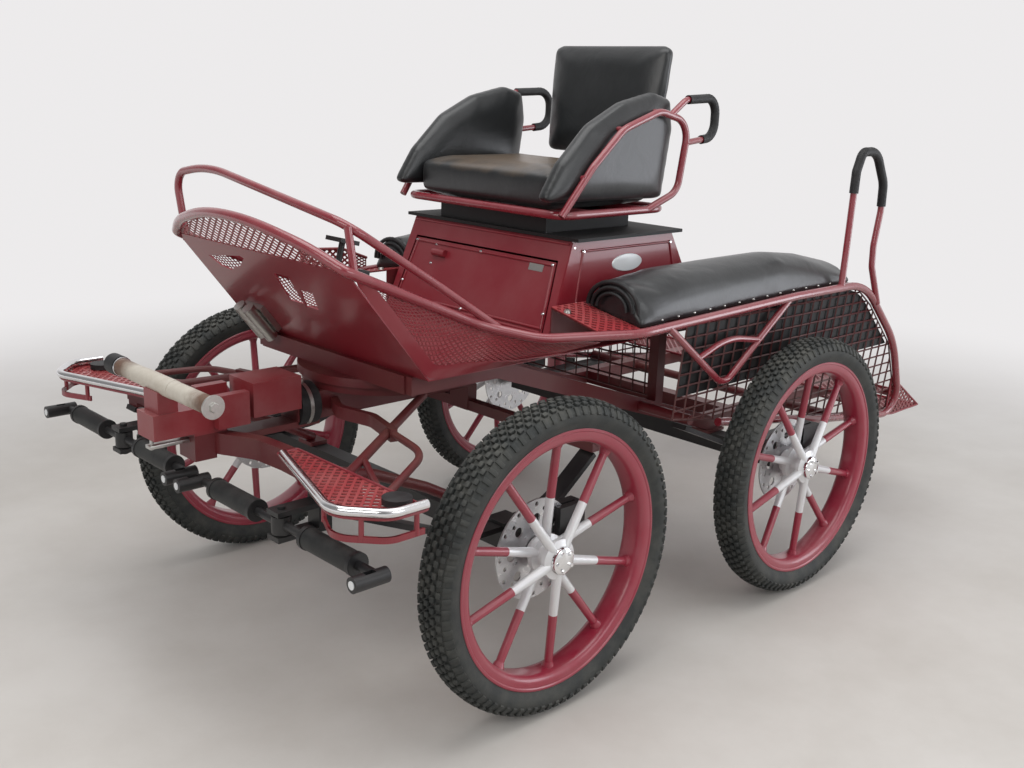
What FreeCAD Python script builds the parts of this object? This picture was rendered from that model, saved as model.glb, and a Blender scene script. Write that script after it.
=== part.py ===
import FreeCAD, Part
import Sketcher
import math
import os
from types import SimpleNamespace
from FreeCAD import Placement, Rotation, Vector

# A small four-wheeled marathon carriage for a pair of ponies. Millimetres, +X to the horses,
# +Y to the carriage's left, +Z up, ground at zero, middle of the whole carriage on the X origin.

SIZES = (
    # name, millimetres (degrees where the name says so)
    ("front_axle_x", 587), ("wheelbase", 939), ("half_track", 588), ("wheel_radius", 343),
    ("tyre_width", 88), ("rim_radius", 279), ("rim_width", 68), ("rim_wall", 4), ("rim_depth", 27),
    ("spoke_radius", 9), ("spoke_count", 10), ("hub_radius", 30), ("hub_outer", 30),
    ("flange_radius", 44), ("spindle_radius", 12), ("pin_gap", 0.05),
    ("disc_radius", 112), ("disc_thick", 4), ("disc_inset", 56), ("disc_hole", 5),
    ("disc_window", 11), ("disc_window_ring", 70),
    ("axle_box", 45), ("axle_half", 505), ("caliper_gap", 1.5),
    ("tube_radius", 11), ("slim_radius", 9), ("rail_front_z", 672), ("rail_rear_z", 392),
    ("rail_half", 280), ("rail_width", 40), ("rail_height", 40), ("sheet", 3),
    ("floor_z", 692), ("floor_half", 345), ("floor_front", 141), ("board_top", 343), ("board_top_z", 940),
    ("board_half", 335), ("board_arch", 100),
    ("side_half", 520), ("side_z", 785), ("tail_length", 684), ("tail_bottom_z", 384), ("tail_bar_z", 397),
    ("step_length", 170), ("step_z", 330), ("lining", 3),
    ("locker_bottom_half", 305), ("locker_top_half", 290), ("locker_height", 249),
    ("locker_front", 240), ("locker_rear", 835), ("locker_lean_front", 94), ("locker_lean_rear", 135),
    ("door_gap", 5), ("door_low", 34), ("door_high", 196), ("door_half_low", 279), ("door_half_high", 259),
    ("top_plate_thick", 8), ("top_plate_half", 316), ("top_plate_front", 326), ("top_plate_rear", 712),
    ("pedestal_half", 195), ("pedestal_front", 340), ("pedestal_rear", 640),
    ("seat_z", 1003), ("seat_half", 285), ("seat_front", 300), ("seat_rear", 672),
    ("wing_inner", 243), ("wing_outer", 287), ("cushion_thick", 88), ("cushion_half", 240),
    ("cushion_front", 302), ("cushion_rear", 664), ("back_half", 210), ("back_thick", 52),
    ("back_low_z", 1112), ("back_top_z", 1404), ("back_low_x", 706), ("back_top_x", 742),
    ("pad_front", 350),
    ("basket_half", 478), ("wire", 4), ("platform_z", 412),
    ("turntable_radius", 200), ("turntable_z", 632), ("turntable_thick", 20), ("turntable_gap", 1),
    ("lower_ring_radius", 190), ("kingpin_radius", 15),
    ("beam_z", 550), ("spring_half", 440), ("spring_width", 44), ("spring_thick", 12),
    ("tread_z", 566), ("tread_thick", 4), ("tread_beam_height", 46), ("tread_beam_thick", 28),
    ("head_front", 380), ("head_half", 50), ("nose_front", 602), ("nose_half", 36), ("nose_low_z", 572),
    ("nose_height", 54), ("nose_foot_half", 34), ("pin_tube_z", 682), ("pin_tube_radius", 20),
    ("pin_tube_half", 214), ("pin_tube_ahead", 566), ("pin_end_radius", 19), ("pin_shoulder", 62),
    ("swing_ahead", 497), ("swing_z", 465), ("swing_centre", 338), ("swing_half", 310), ("swing_radius", 9),
    ("sleeve_radius", 22), ("sleeve_start", 85), ("sleeve_end", 250), ("trace_barrel_radius", 15),
    ("trace_slot", 12), ("swing_pin", 8), ("swing_boss_radius", 20), ("swing_boss_height", 36),
    ("bump_radius", 28), ("bump_height", 12),
)

doc = FreeCAD.newDocument("carriage")
sheet = doc.addObject("Spreadsheet::Sheet", "sizes")
for row, (name, value) in enumerate(SIZES, 1):
    sheet.set(f"A{row}", name)
    sheet.set(f"B{row}", str(value))
    sheet.setAlias(f"B{row}", name)
doc.recompute()


class Dim:
    """A length that knows both its number and the sheet expression it came from."""

    def __init__(self, value, text=None):
        self.value = float(value)
        self.text = text or f"{float(value):.6g}"

    def __float__(self):
        return self.value

    def _with(self, other, value, sign, swap=False):
        left, right = (as_dim(other), self) if swap else (self, as_dim(other))
        return Dim(value(left.value, right.value), f"({left.text} {sign} {right.text})")

    def __add__(self, other):
        return self._with(other, lambda a, b: a + b, "+")

    def __radd__(self, other):
        return self._with(other, lambda a, b: a + b, "+", swap=True)

    def __sub__(self, other):
        return self._with(other, lambda a, b: a - b, "-")

    def __rsub__(self, other):
        return self._with(other, lambda a, b: a - b, "-", swap=True)

    def __mul__(self, other):
        return self._with(other, lambda a, b: a * b, "*")

    def __rmul__(self, other):
        return self._with(other, lambda a, b: a * b, "*", swap=True)

    def __truediv__(self, other):
        return self._with(other, lambda a, b: a / b, "/")

    def __neg__(self):
        return Dim(-self.value, f"(0 - {self.text})")


def as_dim(value):
    """The value as a Dim."""
    return value if isinstance(value, Dim) else Dim(value)


s = SimpleNamespace(**{name: Dim(sheet.get(name), f"sizes.{name}") for name, _ in SIZES})
nodes = []
LEFT, RIGHT = 1, -1
SIDES = (LEFT, RIGHT)


# ---------------------------------------------------------------- helpers

def front(ahead):
    """X of a place measured ahead of the front axle."""
    return s.front_axle_x + ahead


def rear(ahead):
    """X of a place measured ahead of the rear axle."""
    return s.front_axle_x - s.wheelbase + ahead


def point(x, y, z):
    """A plain vector from numbers or Dims."""
    return Vector(float(x), float(y), float(z))


def bind(thing, prop, dim):
    """Tie a property to the sheet through the dim's expression."""
    thing.setExpression(prop, as_dim(dim).text)


def place(thing, x, y, z, rotation=None):
    """Put a piece at a place that follows the sheet."""
    thing.Placement = Placement(point(x, y, z), rotation or Rotation())
    for axis, dim in zip("xyz", (x, y, z)):
        bind(thing, f"Placement.Base.{axis}", dim)


def ahead_points(table):
    """Points from rows of (ahead of the front axle, y, z)."""
    return [point(front(a), y, z) for a, y, z in table]


def node(thing, label):
    """Names a finished sub-part; the label names its file."""
    thing.Label = label
    nodes.append(thing)
    return thing


def block(name, length, width, height, corner, rotation=None):
    """Box from its lowest corner."""
    thing = doc.addObject("Part::Box", name)
    bind(thing, "Length", length)
    bind(thing, "Width", width)
    bind(thing, "Height", height)
    place(thing, *corner, rotation)
    return thing


def across(name, length, half, height, x, z):
    """Box symmetric about the carriage's middle plane, from x forwards and z upwards."""
    return block(name, length, as_dim(half) * 2, height, (x, -as_dim(half), z))


def rod(name, radius, length, base, axis=Vector(0, 0, 1)):
    """Cylinder from its base along the axis."""
    thing = doc.addObject("Part::Cylinder", name)
    bind(thing, "Radius", radius)
    bind(thing, "Height", length)
    place(thing, *base, Rotation(Vector(0, 0, 1), axis))
    return thing


def join(name, parts):
    """Document union of pieces."""
    thing = doc.addObject("Part::MultiFuse", name)
    thing.Shapes = parts
    return thing


def cut(name, base, tools):
    """Document piece with tools taken away."""
    thing = doc.addObject("Part::Cut", name)
    thing.Base = base
    thing.Tool = tools[0] if len(tools) == 1 else join(name + "_tools", tools)
    return thing


def shaped(name, shape):
    """A sub-part whose form comes from Part functions."""
    thing = doc.addObject("Part::Feature", name)
    thing.Shape = shape
    thing.Placement = Placement()
    return thing


def new_body(name):
    """Empty part design body."""
    return doc.addObject("PartDesign::Body", name)


def sketch_on(body, name, role):
    """Empty sketch on one of the body's own planes."""
    sketch = body.newObject("Sketcher::SketchObject", name)
    plane = [f for f in body.Origin.OriginFeatures if f.Role == role][0]
    sketch.AttachmentSupport = [(plane, "")]
    sketch.MapMode = "FlatFace"
    return sketch


def outline(sketch, corners):
    """Closed polygon; every corner is held by two named dimensions of the sheet."""
    numbers = [(float(a), float(b)) for a, b in corners]
    first = sketch.GeometryCount
    count = len(corners)
    for i in range(count):
        start, end = numbers[i], numbers[(i + 1) % count]
        sketch.addGeometry(Part.LineSegment(Vector(*start, 0), Vector(*end, 0)))
    for i in range(count):
        sketch.addConstraint(Sketcher.Constraint("Coincident", first + i, 2, first + (i + 1) % count, 1))
    for i, corner in enumerate(corners):
        for kind, dim in zip(("DistanceX", "DistanceY"), corner):
            index = sketch.addConstraint(Sketcher.Constraint(kind, -1, 1, first + i, 1, float(dim)))
            sketch.setExpression(f"Constraints[{index}]", as_dim(dim).text)
    return sketch


def ring(sketch, radius, centre=(0, 0)):
    """Circle held by its centre and radius."""
    index = sketch.addGeometry(Part.Circle(Vector(float(centre[0]), float(centre[1]), 0),
                                           Vector(0, 0, 1), float(radius)))
    for kind, dim in zip(("DistanceX", "DistanceY"), centre):
        held = sketch.addConstraint(Sketcher.Constraint(kind, -1, 1, index, 3, float(dim)))
        sketch.setExpression(f"Constraints[{held}]", as_dim(dim).text)
    held = sketch.addConstraint(Sketcher.Constraint("Radius", index, float(radius)))
    sketch.setExpression(f"Constraints[{held}]", as_dim(radius).text)
    return sketch


def pad(body, sketch, thickness):
    """Extrude a sketch by a thickness of the sheet."""
    feature = body.newObject("PartDesign::Pad", sketch.Name + "_pad")
    feature.Profile = sketch
    bind(feature, "Length", thickness)
    return feature


def revolve(body, sketch, axis="H_Axis"):
    """Turn a sketch once round its axis."""
    feature = body.newObject("PartDesign::Revolution", sketch.Name + "_turned")
    feature.Profile = sketch
    feature.ReferenceAxis = (sketch, [axis])
    feature.Angle = 360
    return feature


def rounded_path(corners, bend):
    """Wire through the corners with a tangent arc at each inner corner."""
    corners = [Vector(c) for c in corners]
    bends = bend if isinstance(bend, (list, tuple)) else [bend] * (len(corners) - 2)
    edges, start = [], corners[0]
    for i in range(1, len(corners) - 1):
        before = (corners[i - 1] - corners[i]).normalize()
        after = (corners[i + 1] - corners[i]).normalize()
        turn = math.pi - before.getAngle(after)
        if turn < 0.01:
            continue
        room = 0.48 * min((corners[i - 1] - corners[i]).Length, (corners[i + 1] - corners[i]).Length)
        reach = min(float(bends[i - 1]) * math.tan(turn / 2), room)
        radius = reach / math.tan(turn / 2)
        first, last = corners[i] + before * reach, corners[i] + after * reach
        inward = (before + after).normalize()
        middle = corners[i] + inward * (radius / math.cos(turn / 2) - radius)
        edges.append(Part.LineSegment(start, first).toShape())
        edges.append(Part.Arc(first, middle, last).toShape())
        start = last
    edges.append(Part.LineSegment(start, corners[-1]).toShape())
    return Part.Wire(edges)


def tube(corners, radius, bend=60):
    """Bent round bar through the corners."""
    path = rounded_path(corners, bend)
    way = (corners[1] - corners[0]).normalize()
    section = Part.Wire(Part.makeCircle(float(radius), corners[0], way))
    return path.makePipeShell([section], True, False)


def bar(corners, width, height, bend=30, flat=Vector(0, 1, 0)):
    """Bent rectangular bar whose path stays square to flat; its width runs along flat."""
    way = (corners[1] - corners[0]).normalize()
    side = flat * (float(width) / 2)
    rise = way.cross(flat).normalize() * (float(height) / 2)
    ends = [corners[0] + side + rise, corners[0] - side + rise, corners[0] - side - rise,
            corners[0] + side - rise]
    section = Part.makePolygon(ends + ends[:1])
    return rounded_path(corners, bend).makePipeShell([section], True, False)


UP = Vector(0, 0, 1)


def level_plate(corners, bend, thick):
    """Level plate over a loop of corners, each rounded by its bend."""
    start = (corners[0] + corners[-1]) * 0.5
    return Part.Face(rounded_path([start, *corners, start], bend)).extrude(UP * float(thick))


def straight(start, end, radius):
    """Round bar from start to end."""
    way = end - start
    return Part.makeCylinder(float(radius), way.Length, start, way)


def fused(shapes):
    """Union of shapes."""
    return shapes[0].multiFuse(shapes[1:]) if len(shapes) > 1 else shapes[0]


def mirrored(shape):
    """The same piece on the carriage's other side."""
    return shape.mirror(Vector(0, 0, 0), Vector(0, 1, 0))


def pair(shape):
    """The shape and its mirror image, apart."""
    return Part.makeCompound([shape, mirrored(shape)])


def loft(sections):
    """Ruled solid through loops of corners."""
    return Part.makeLoft([Part.makePolygon([*c, c[0]]) for c in sections], True, True)


def plate(corners, thickness):
    """Flat plate: the corner loop pushed along its own normal."""
    face = Part.Face(Part.makePolygon([*corners, corners[0]]))
    return face.extrude(face.normalAt(0, 0) * float(thickness))


# ---------------------------------------------------------------- wheels

WHEELS = (
    # name, place ahead of its axle line, side of the carriage
    ("front_left", front(0), LEFT),
    ("front_right", front(0), RIGHT),
    ("rear_left", rear(0), LEFT),
    ("rear_right", rear(0), RIGHT),
)


def turned_about_axle(label, corners, x, side, tilt=None):
    """Body of revolution about the wheel's own axle; corners are (outboard, radius)."""
    body = new_body(label)
    sketch = outline(sketch_on(body, label + "_profile", "XY_Plane"), corners)
    revolve(body, sketch)
    place(body, x, s.half_track * side, s.wheel_radius, Rotation(Vector(0, 0, 1), 90 * side))
    return body


def tyre(name, x, side):
    """Tyre: a low closed ring seated in the rim."""
    half = s.tyre_width / 2
    bead = s.rim_width / 2 - s.rim_wall - 0.3
    bed = s.rim_radius - 14
    flange = s.rim_radius + 0.3
    shoulder = s.wheel_radius - 14
    corners = ((-bead, bed), (bead, bed), (bead, flange), (half, flange + 22), (half - 4, shoulder),
               (half - 22, s.wheel_radius), (-half + 22, s.wheel_radius), (-half + 4, shoulder),
               (-half, flange + 22), (-bead, flange))
    node(turned_about_axle(f"tyre_{name}", corners, x, side), f"tyre_{name}")


def rim_profile():
    """Section of the rim as (outboard, radius)."""
    half = s.rim_width / 2
    bed = s.rim_radius - s.rim_depth
    return ((-half, s.rim_radius), (-half, bed), (half, bed), (half, s.rim_radius),
            (half - s.rim_wall, s.rim_radius), (half - s.rim_wall, s.rim_radius - 14.3),
            (-half + s.rim_wall, s.rim_radius - 14.3), (-half + s.rim_wall, s.rim_radius))


def hub_profile():
    """Section of the hub and its closed cap."""
    bore = s.spindle_radius + s.pin_gap
    disc_face = s.disc_inset - s.disc_thick
    return ((-disc_face, bore), (-disc_face, s.hub_radius), (-30, s.hub_radius), (-30, s.flange_radius),
            (-18, s.flange_radius), (-18, s.hub_radius), (10, s.hub_radius), (10, s.flange_radius),
            (22, s.flange_radius), (22, s.hub_radius), (s.hub_outer, s.hub_radius), (s.hub_outer + 8, 20),
            (s.hub_outer + 8, 0), (s.hub_outer - 2, 0), (s.hub_outer - 2, bore))


def spoke(name, number):
    """One tubular spoke, from an inner or outer hub flange to the middle of the rim bed."""
    angle = 360.0 / float(s.spoke_count) * number
    offset = 16 if number % 2 else -24
    lean = Rotation(Vector(1, 0, 0), angle)
    foot = lean.multVec(point(offset, 0, s.hub_radius - 2))
    tip = lean.multVec(point(0, 0, s.rim_radius - s.rim_depth + 1.5))
    way = tip - foot
    thing = doc.addObject("Part::Cylinder", name)
    bind(thing, "Radius", s.spoke_radius)
    thing.Height = way.Length
    thing.Placement = Placement(foot, Rotation(Vector(0, 0, 1), way))
    return thing


def wheel(name, x, side):
    """Rim, spokes and hub as one solid."""
    rim_body = new_body(f"rim_{name}")
    revolve(rim_body, outline(sketch_on(rim_body, f"rim_profile_{name}", "XY_Plane"), rim_profile()))
    hub_body = new_body(f"hub_{name}")
    revolve(hub_body, outline(sketch_on(hub_body, f"hub_profile_{name}", "XY_Plane"), hub_profile()))
    spokes = [spoke(f"spoke_{name}_{i}", i) for i in range(int(float(s.spoke_count)))]
    whole = join(f"wheel_{name}", [rim_body, hub_body, *spokes])
    place(whole, x, s.half_track * side, s.wheel_radius, Rotation(Vector(0, 0, 1), 90 * side))
    node(whole, f"wheel_{name}")


DISC_HOLES = (
    # how many, first one's turn in degrees, ring radius, hole radius
    (12, 0, s.disc_radius - 10, s.disc_hole),
    (12, 15, s.disc_radius - 22, s.disc_hole),
    (8, 0, s.disc_window_ring, s.disc_window),
)


def brake_disc(name, x, side):
    """Drilled steel disc whose carrier has round windows; its face lies on the hub's inner end."""
    body = new_body(f"disc_{name}")
    sketch = sketch_on(body, f"disc_outline_{name}", "XZ_Plane")
    ring(sketch, s.disc_radius)
    ring(sketch, s.spindle_radius + 3)
    for count, turn, reach, radius in DISC_HOLES:
        for hole in range(count):
            angle = math.radians(hole * 360 / count + turn)
            ring(sketch, radius, (reach * math.cos(angle), reach * math.sin(angle)))
    pad(body, sketch, s.disc_thick)
    flip = Rotation(Vector(0, 0, 1), 0 if side == LEFT else 180)
    place(body, x, (s.half_track - s.disc_inset + s.disc_thick) * side, s.wheel_radius, flip)
    node(body, f"brake_disc_{name}")


for wheel_name, wheel_x, wheel_side in WHEELS:
    tyre(wheel_name, wheel_x, wheel_side)
    wheel(wheel_name, wheel_x, wheel_side)
    brake_disc(wheel_name, wheel_x, wheel_side)


# ---------------------------------------------------------------- axles and brakes

AXLES = (
    # name, x of the axle line, way from the axle to its calipers (+1 ahead, -1 behind)
    ("front", front(0), -1),
    ("rear", rear(0), -1),
)


def axle(name, x):
    """Square beam with a spindle at each end; the hubs run on the spindles."""
    half_box = s.axle_box / 2
    beam = across(f"{name}_axle_beam", s.axle_box, s.axle_half, s.axle_box,
                  x - half_box, s.wheel_radius - half_box)
    reach = s.half_track + s.hub_outer - 4
    spindle = rod(f"{name}_spindles", s.spindle_radius, reach * 2,
                  (x, reach, s.wheel_radius), Vector(0, -1, 0))
    node(join(f"{name}_axle", [beam, spindle]), f"{name}_axle")


def calipers(name, x, way):
    """Two blocks, each slotted round its disc and carried on an arm from the axle beam."""
    disc_y = s.half_track - s.disc_inset + s.disc_thick / 2
    arm_z = s.wheel_radius + s.axle_box / 2
    slot = s.disc_thick + s.caliper_gap * 2
    shapes = []
    near, far = float(x) + way * 55, float(x) + way * 132
    low, high = min(near, far), max(near, far)
    body = Part.makeBox(high - low, 44, 62, point(low, disc_y - 24, s.wheel_radius + 20))
    gap = Part.makeBox(high - low + 2, float(slot), 64,
                       point(low - 1, disc_y - slot / 2, s.wheel_radius + 19))
    bridge = Part.makeBox(14, 44, 62, point(high - 14 if way > 0 else low, disc_y - 24, s.wheel_radius + 20))
    arm = Part.makeBox(abs(near - float(x)) + 30, 10, 24,
                       point(min(near, float(x)) - (0 if way > 0 else 20), s.axle_half - 12, arm_z))
    link = Part.makeBox(20, float(disc_y - s.axle_half) + 2, 24,
                        point(near - (0 if way > 0 else 20), s.axle_half - 12, arm_z))
    shapes = fused([body.cut(gap), bridge, arm, link])
    node(shaped(f"{name}_calipers", pair(shapes)), f"{name}_calipers")


for axle_name, axle_x, caliper_way in AXLES:
    axle(axle_name, axle_x)
    calipers(axle_name, axle_x, caliper_way)


# ---------------------------------------------------------------- fore-carriage

def turntable():
    """Upper ring on the body, lower ring on the fore-carriage, one kingpin through both."""
    upper = rod("upper_disc", s.turntable_radius, s.turntable_thick, (front(0), 0, s.turntable_z))
    bore = rod("kingpin_bore", s.kingpin_radius + s.pin_gap, s.turntable_thick + 2,
               (front(0), 0, s.turntable_z - 1))
    node(cut("turntable_upper", upper, [bore]), "turntable_upper")


TREAD_BEAM = (
    # ahead of the front axle, y of the beam's middle line; the other half mirrors it
    (452, 0), (452, 34), (408, 118), (402, 210), (412, 465),
)
YOKE = ((160, 30), (196, 100), (176, 200), (207, 314))
HOOP = ((205, 311, 582), (222, 432, 574), (402, 538, 555))
STRUT = ((20, 180, 606), (402, 409, 554.5))
STRUT_BRACE = ((318, 358, 566), (402, 530, 556.5))


def tread_beam():
    """Flat beam across the fore-carriage, bowed forward where it passes under the nose."""
    z = s.tread_z - s.tread_beam_height / 2
    half = ahead_points([(a, b, z) for a, b in TREAD_BEAM])
    path = [Vector(c.x, -c.y, c.z) for c in half[:0:-1]] + half[1:]
    return bar(path, s.tread_beam_height, s.tread_beam_thick, [90, 90, 30, 30, 90, 90], UP)


def side_frame():
    """Left side of the fore-carriage: the arm down to the axle and the tubes that hold a tread."""
    axle_top = s.wheel_radius + s.axle_box / 2 + 0.05
    arm = tube(ahead_points(((412, 300, 543), (250, 300, 500), (110, 300, 440), (0, 300, axle_top + 14))),
               12, 120)
    foot = Part.makeBox(50, 60, 10, point(front(-25), 270, axle_top))
    yoke = bar(ahead_points([(a, b, 580) for a, b in YOKE]), 28, 16, 60, UP)
    hoop = tube(ahead_points(HOOP), 8, 95)
    strut = straight(*ahead_points(STRUT), 10)
    brace = straight(*ahead_points(STRUT_BRACE), 7)
    below = Part.makeBox(200, 200, 60, point(front(-100), 200, axle_top - 60))
    return fused([arm, foot, yoke, hoop, strut, brace]).cut(below)


def spring_lift():
    """Height of a front leaf spring's middle line over the axle."""
    return s.wheel_radius + s.axle_box / 2 + s.spring_thick / 2 + 0.1


SPRING_NOSE = (430, 503)


def fore_frame():
    """Lower ring, pole beam, cross beams and the side frames."""
    ring_z = s.turntable_z - s.turntable_gap - 18
    lower = rod("lower_disc", s.lower_ring_radius, 18, (front(0), 0, ring_z))
    kingpin = rod("kingpin", s.kingpin_radius, s.turntable_gap + s.turntable_thick + 6,
                  (front(0), 0, ring_z + 10))
    beam = across("pole_beam", 514.95, 35, ring_z - s.beam_z, front(-255), s.beam_z)
    keel = across("keel", 265, 30, s.beam_z - s.tread_z + 30, front(200), s.tread_z - 30)
    post_low = s.tread_z - s.tread_beam_height - 10
    post = across("nose_post", 50, s.nose_foot_half, s.tread_z - post_low, front(462), post_low)
    rear_cross = across("spring_beam", 26, s.spring_half + 25, 26, front(-272), 488)
    drop = across("spring_beam_post", 30, 35, s.beam_z - 488 + 4, front(-274), 488)
    parts = [lower, kingpin, beam, keel, post, rear_cross, drop, shaped("tread_beam", tread_beam())]
    frame_side = side_frame()
    parts += [shaped("side_frame_left", frame_side), shaped("side_frame_right", mirrored(frame_side))]
    hanger_front = 424
    fall = (SPRING_NOSE[1] - spring_lift()) / (SPRING_NOSE[0] - 120)
    leaf_top = SPRING_NOSE[1] - (SPRING_NOSE[0] - hanger_front) * fall + s.spring_thick / 2 + 0.7
    for side in SIDES:
        parts.append(block(f"front_hanger_{side}", s.tread_beam_thick, s.spring_width,
                           s.tread_z - s.tread_beam_height - leaf_top + 2,
                           (front(hanger_front) - s.tread_beam_thick,
                            s.spring_half * side - s.spring_width / 2, leaf_top)))
    node(join("fore_frame", parts), "fore_frame")


def front_springs():
    """Leaf springs: hung under the tread beam, clamped on the axle, hung again behind."""
    lift = spring_lift()
    leaf = bar([point(front(SPRING_NOSE[0]), 0, SPRING_NOSE[1]), point(front(120), 0, lift),
                point(front(-120), 0, lift), point(front(-260), 0, 480)],
               s.spring_width, s.spring_thick, 200)
    clamp = Part.makeBox(60, float(s.spring_width) + 16, 8,
                         point(front(-30), -s.spring_width / 2 - 8, lift + s.spring_thick / 2))
    whole = leaf.fuse(clamp)
    whole.translate(point(0, s.spring_half, 0))
    node(shaped("front_springs", pair(whole)), "front_springs")


def pole_head():
    """Head block on the beam, the nose ahead of it, and the cradle that holds the cross bar."""
    head = across("head_block", s.head_front - 260, s.head_half, 76, front(260), 586)
    nose = across("nose", s.nose_front - s.head_front, s.nose_half, s.nose_height,
                  front(s.head_front), s.nose_low_z)
    foot_z = s.tread_z + 0.05
    foot = across("nose_foot", 76, s.nose_foot_half, s.nose_low_z - foot_z, front(436), foot_z)
    nose_top = s.nose_low_z + s.nose_height
    cradle = across("cradle", 44, 30, s.pin_tube_z - 10 - nose_top, front(s.pin_tube_ahead - 22), nose_top)
    parts = [head, nose, foot, cradle]
    cheek_thick = 22
    for side in SIDES:
        y = s.nose_half if side == LEFT else -s.nose_half - cheek_thick
        parts.append(block(f"cheek_{side}", 74, cheek_thick, 72, (front(394), y, s.nose_low_z + 6)))
    hole = rod("pin_hole", s.pin_tube_radius + s.pin_gap, 300,
               (front(s.pin_tube_ahead), 150, s.pin_tube_z), Vector(0, -1, 0))
    node(cut("pole_head", join("pole_head_solid", parts), [hole]), "pole_head")
    middle = rod("pole_pin_middle", s.pin_tube_radius, s.pin_shoulder * 2,
                 (front(s.pin_tube_ahead), s.pin_shoulder, s.pin_tube_z), Vector(0, -1, 0))
    ends = rod("pole_pin_ends", s.pin_end_radius, s.pin_tube_half * 2,
               (front(s.pin_tube_ahead), s.pin_tube_half, s.pin_tube_z), Vector(0, -1, 0))
    node(join("pole_pin", [middle, ends]), "pole_pin")


def beam_sleeve():
    """Rubber sleeve round the pole beam, between the turntable and the head block."""
    start = s.turntable_radius + 6
    length = 50
    disc = rod("sleeve_disc", 50, length, (front(start), 0, 581.5), Vector(1, 0, 0))
    beam_space = across("sleeve_beam_space", length + 2, 35.1, 63.2, front(start - 1), s.beam_z - 0.1)
    keel_space = across("sleeve_keel_space", length + 2, 30.1, 40, front(start - 1), s.tread_z - 50)
    node(cut("beam_sleeve", disc, [beam_space, keel_space]), "beam_sleeve")


TREAD = ((392, 234), (437, 234), (549, 578), (478, 658), (392, 658))
TREAD_BENDS = (6, 6, 60, 50, 12)
TREAD_RIM = ((449, 272), (549, 578), (478, 658), (400, 658))
TREAD_LIP = ((505, 492), (546, 580), (478, 655), (404, 655))
TREAD_POSTS = ((509, 500), (512, 617), (420, 655))
LIP_DROP, LIP_HEIGHT = 44, 12


def treads():
    """Foot plates ahead of the front wheels, each with a strip below and a bright tube on its edge."""
    deck_low = s.tread_z + 0.05
    lip_z = s.tread_z - LIP_DROP
    deck = level_plate(ahead_points([(a, b, deck_low) for a, b in TREAD]), TREAD_BENDS, s.tread_thick)
    lip = bar(ahead_points([(a, b, lip_z + LIP_HEIGHT / 2) for a, b in TREAD_LIP]),
              LIP_HEIGHT, 5, [50, 45], UP)
    posts = [Part.makeCylinder(5, LIP_DROP + 1, point(front(a), b, lip_z)) for a, b in TREAD_POSTS]
    node(shaped("front_treads", pair(fused([deck, lip, *posts]))), "front_treads")
    lift = deck_low + s.tread_thick + s.slim_radius + 0.1
    edge = tube(ahead_points([(a, b, lift) for a, b in TREAD_RIM]), s.slim_radius, [60, 50])
    node(shaped("tread_edges", pair(edge)), "tread_edges")


def swing_brackets():
    """Forked arms under the tread beam; each holds the centre pin of a swingletree."""
    arm_thick, arm_width, play = 10, 40, 3
    boss_half = s.swing_boss_height / 2
    low_arm, high_arm = s.swing_z - boss_half - play - arm_thick, s.swing_z + boss_half + play
    beam_low = s.tread_z - s.tread_beam_height
    back, y = 394, s.swing_centre - arm_width / 2
    shapes = [Part.makeBox(float(s.swing_ahead) - back + 20, arm_width, arm_thick, point(front(back), y, z))
              for z in (low_arm, high_arm)]
    shapes.append(Part.makeBox(30, arm_width, float(beam_low - low_arm), point(front(back), y, low_arm)))
    shapes.append(Part.makeCylinder(float(s.swing_pin), float(high_arm - low_arm) + arm_thick + 12,
                                    point(front(s.swing_ahead), s.swing_centre, low_arm - 6)))
    node(shaped("swing_brackets", pair(fused(shapes))), "swing_brackets")


BARREL_BACK, BARREL_FRONT = -16, 58
SLOT_BACK, SLOT_FRONT = 10, 32


def swingletree(label, side):
    """Round bar with two rubber sleeves and a slotted barrel at each end for a trace."""
    middle = point(front(s.swing_ahead), s.swing_centre * side, s.swing_z)
    along, ahead = Vector(0, 1, 0), Vector(1, 0, 0)
    half = float(s.swing_half)
    boss = Part.makeCylinder(float(s.swing_boss_radius), float(s.swing_boss_height),
                             middle - UP * float(s.swing_boss_height / 2))
    parts = [straight(middle - along * half, middle + along * half, s.swing_radius), boss]
    slots = []
    for way in SIDES:
        parts.append(straight(middle + along * (way * float(s.sleeve_start)),
                              middle + along * (way * float(s.sleeve_end)), s.sleeve_radius))
        end = middle + along * (way * half)
        parts.append(straight(end + ahead * BARREL_BACK, end + ahead * BARREL_FRONT, s.trace_barrel_radius))
        slot = float(s.trace_slot)
        slots.append(Part.makeBox(SLOT_FRONT - SLOT_BACK, slot, 40,
                                  end + Vector(SLOT_BACK, -slot / 2, -20)))
    pin_bore = Part.makeCylinder(float(s.swing_pin + s.pin_gap), 60, middle - UP * 30)
    node(shaped(label, fused(parts).cut(fused([pin_bore, *slots]))), label)


def bump_rubbers():
    """Black rubber discs on the outer rear corners of the treads."""
    lift = s.tread_z + 0.05 + s.tread_thick
    disc = Part.makeCylinder(float(s.bump_radius), float(s.bump_height), point(front(424), 604, lift + 0.05))
    node(shaped("bump_rubbers", pair(disc)), "bump_rubbers")


turntable()
fore_frame()
front_springs()
pole_head()
beam_sleeve()
treads()
swing_brackets()
bump_rubbers()
for swing_label, swing_side in (("swingletree_left", LEFT), ("swingletree_right", RIGHT)):
    swingletree(swing_label, swing_side)


# ---------------------------------------------------------------- chassis

def rail_slope_z(x):
    """Height of the sloping rail's centre line at x."""
    start, end = float(front(-100)), float(rear(20))
    share = min(1, max(0, (start - float(x)) / (start - end)))
    return float(s.rail_front_z) + (float(s.rail_rear_z) - float(s.rail_front_z)) * share


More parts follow.
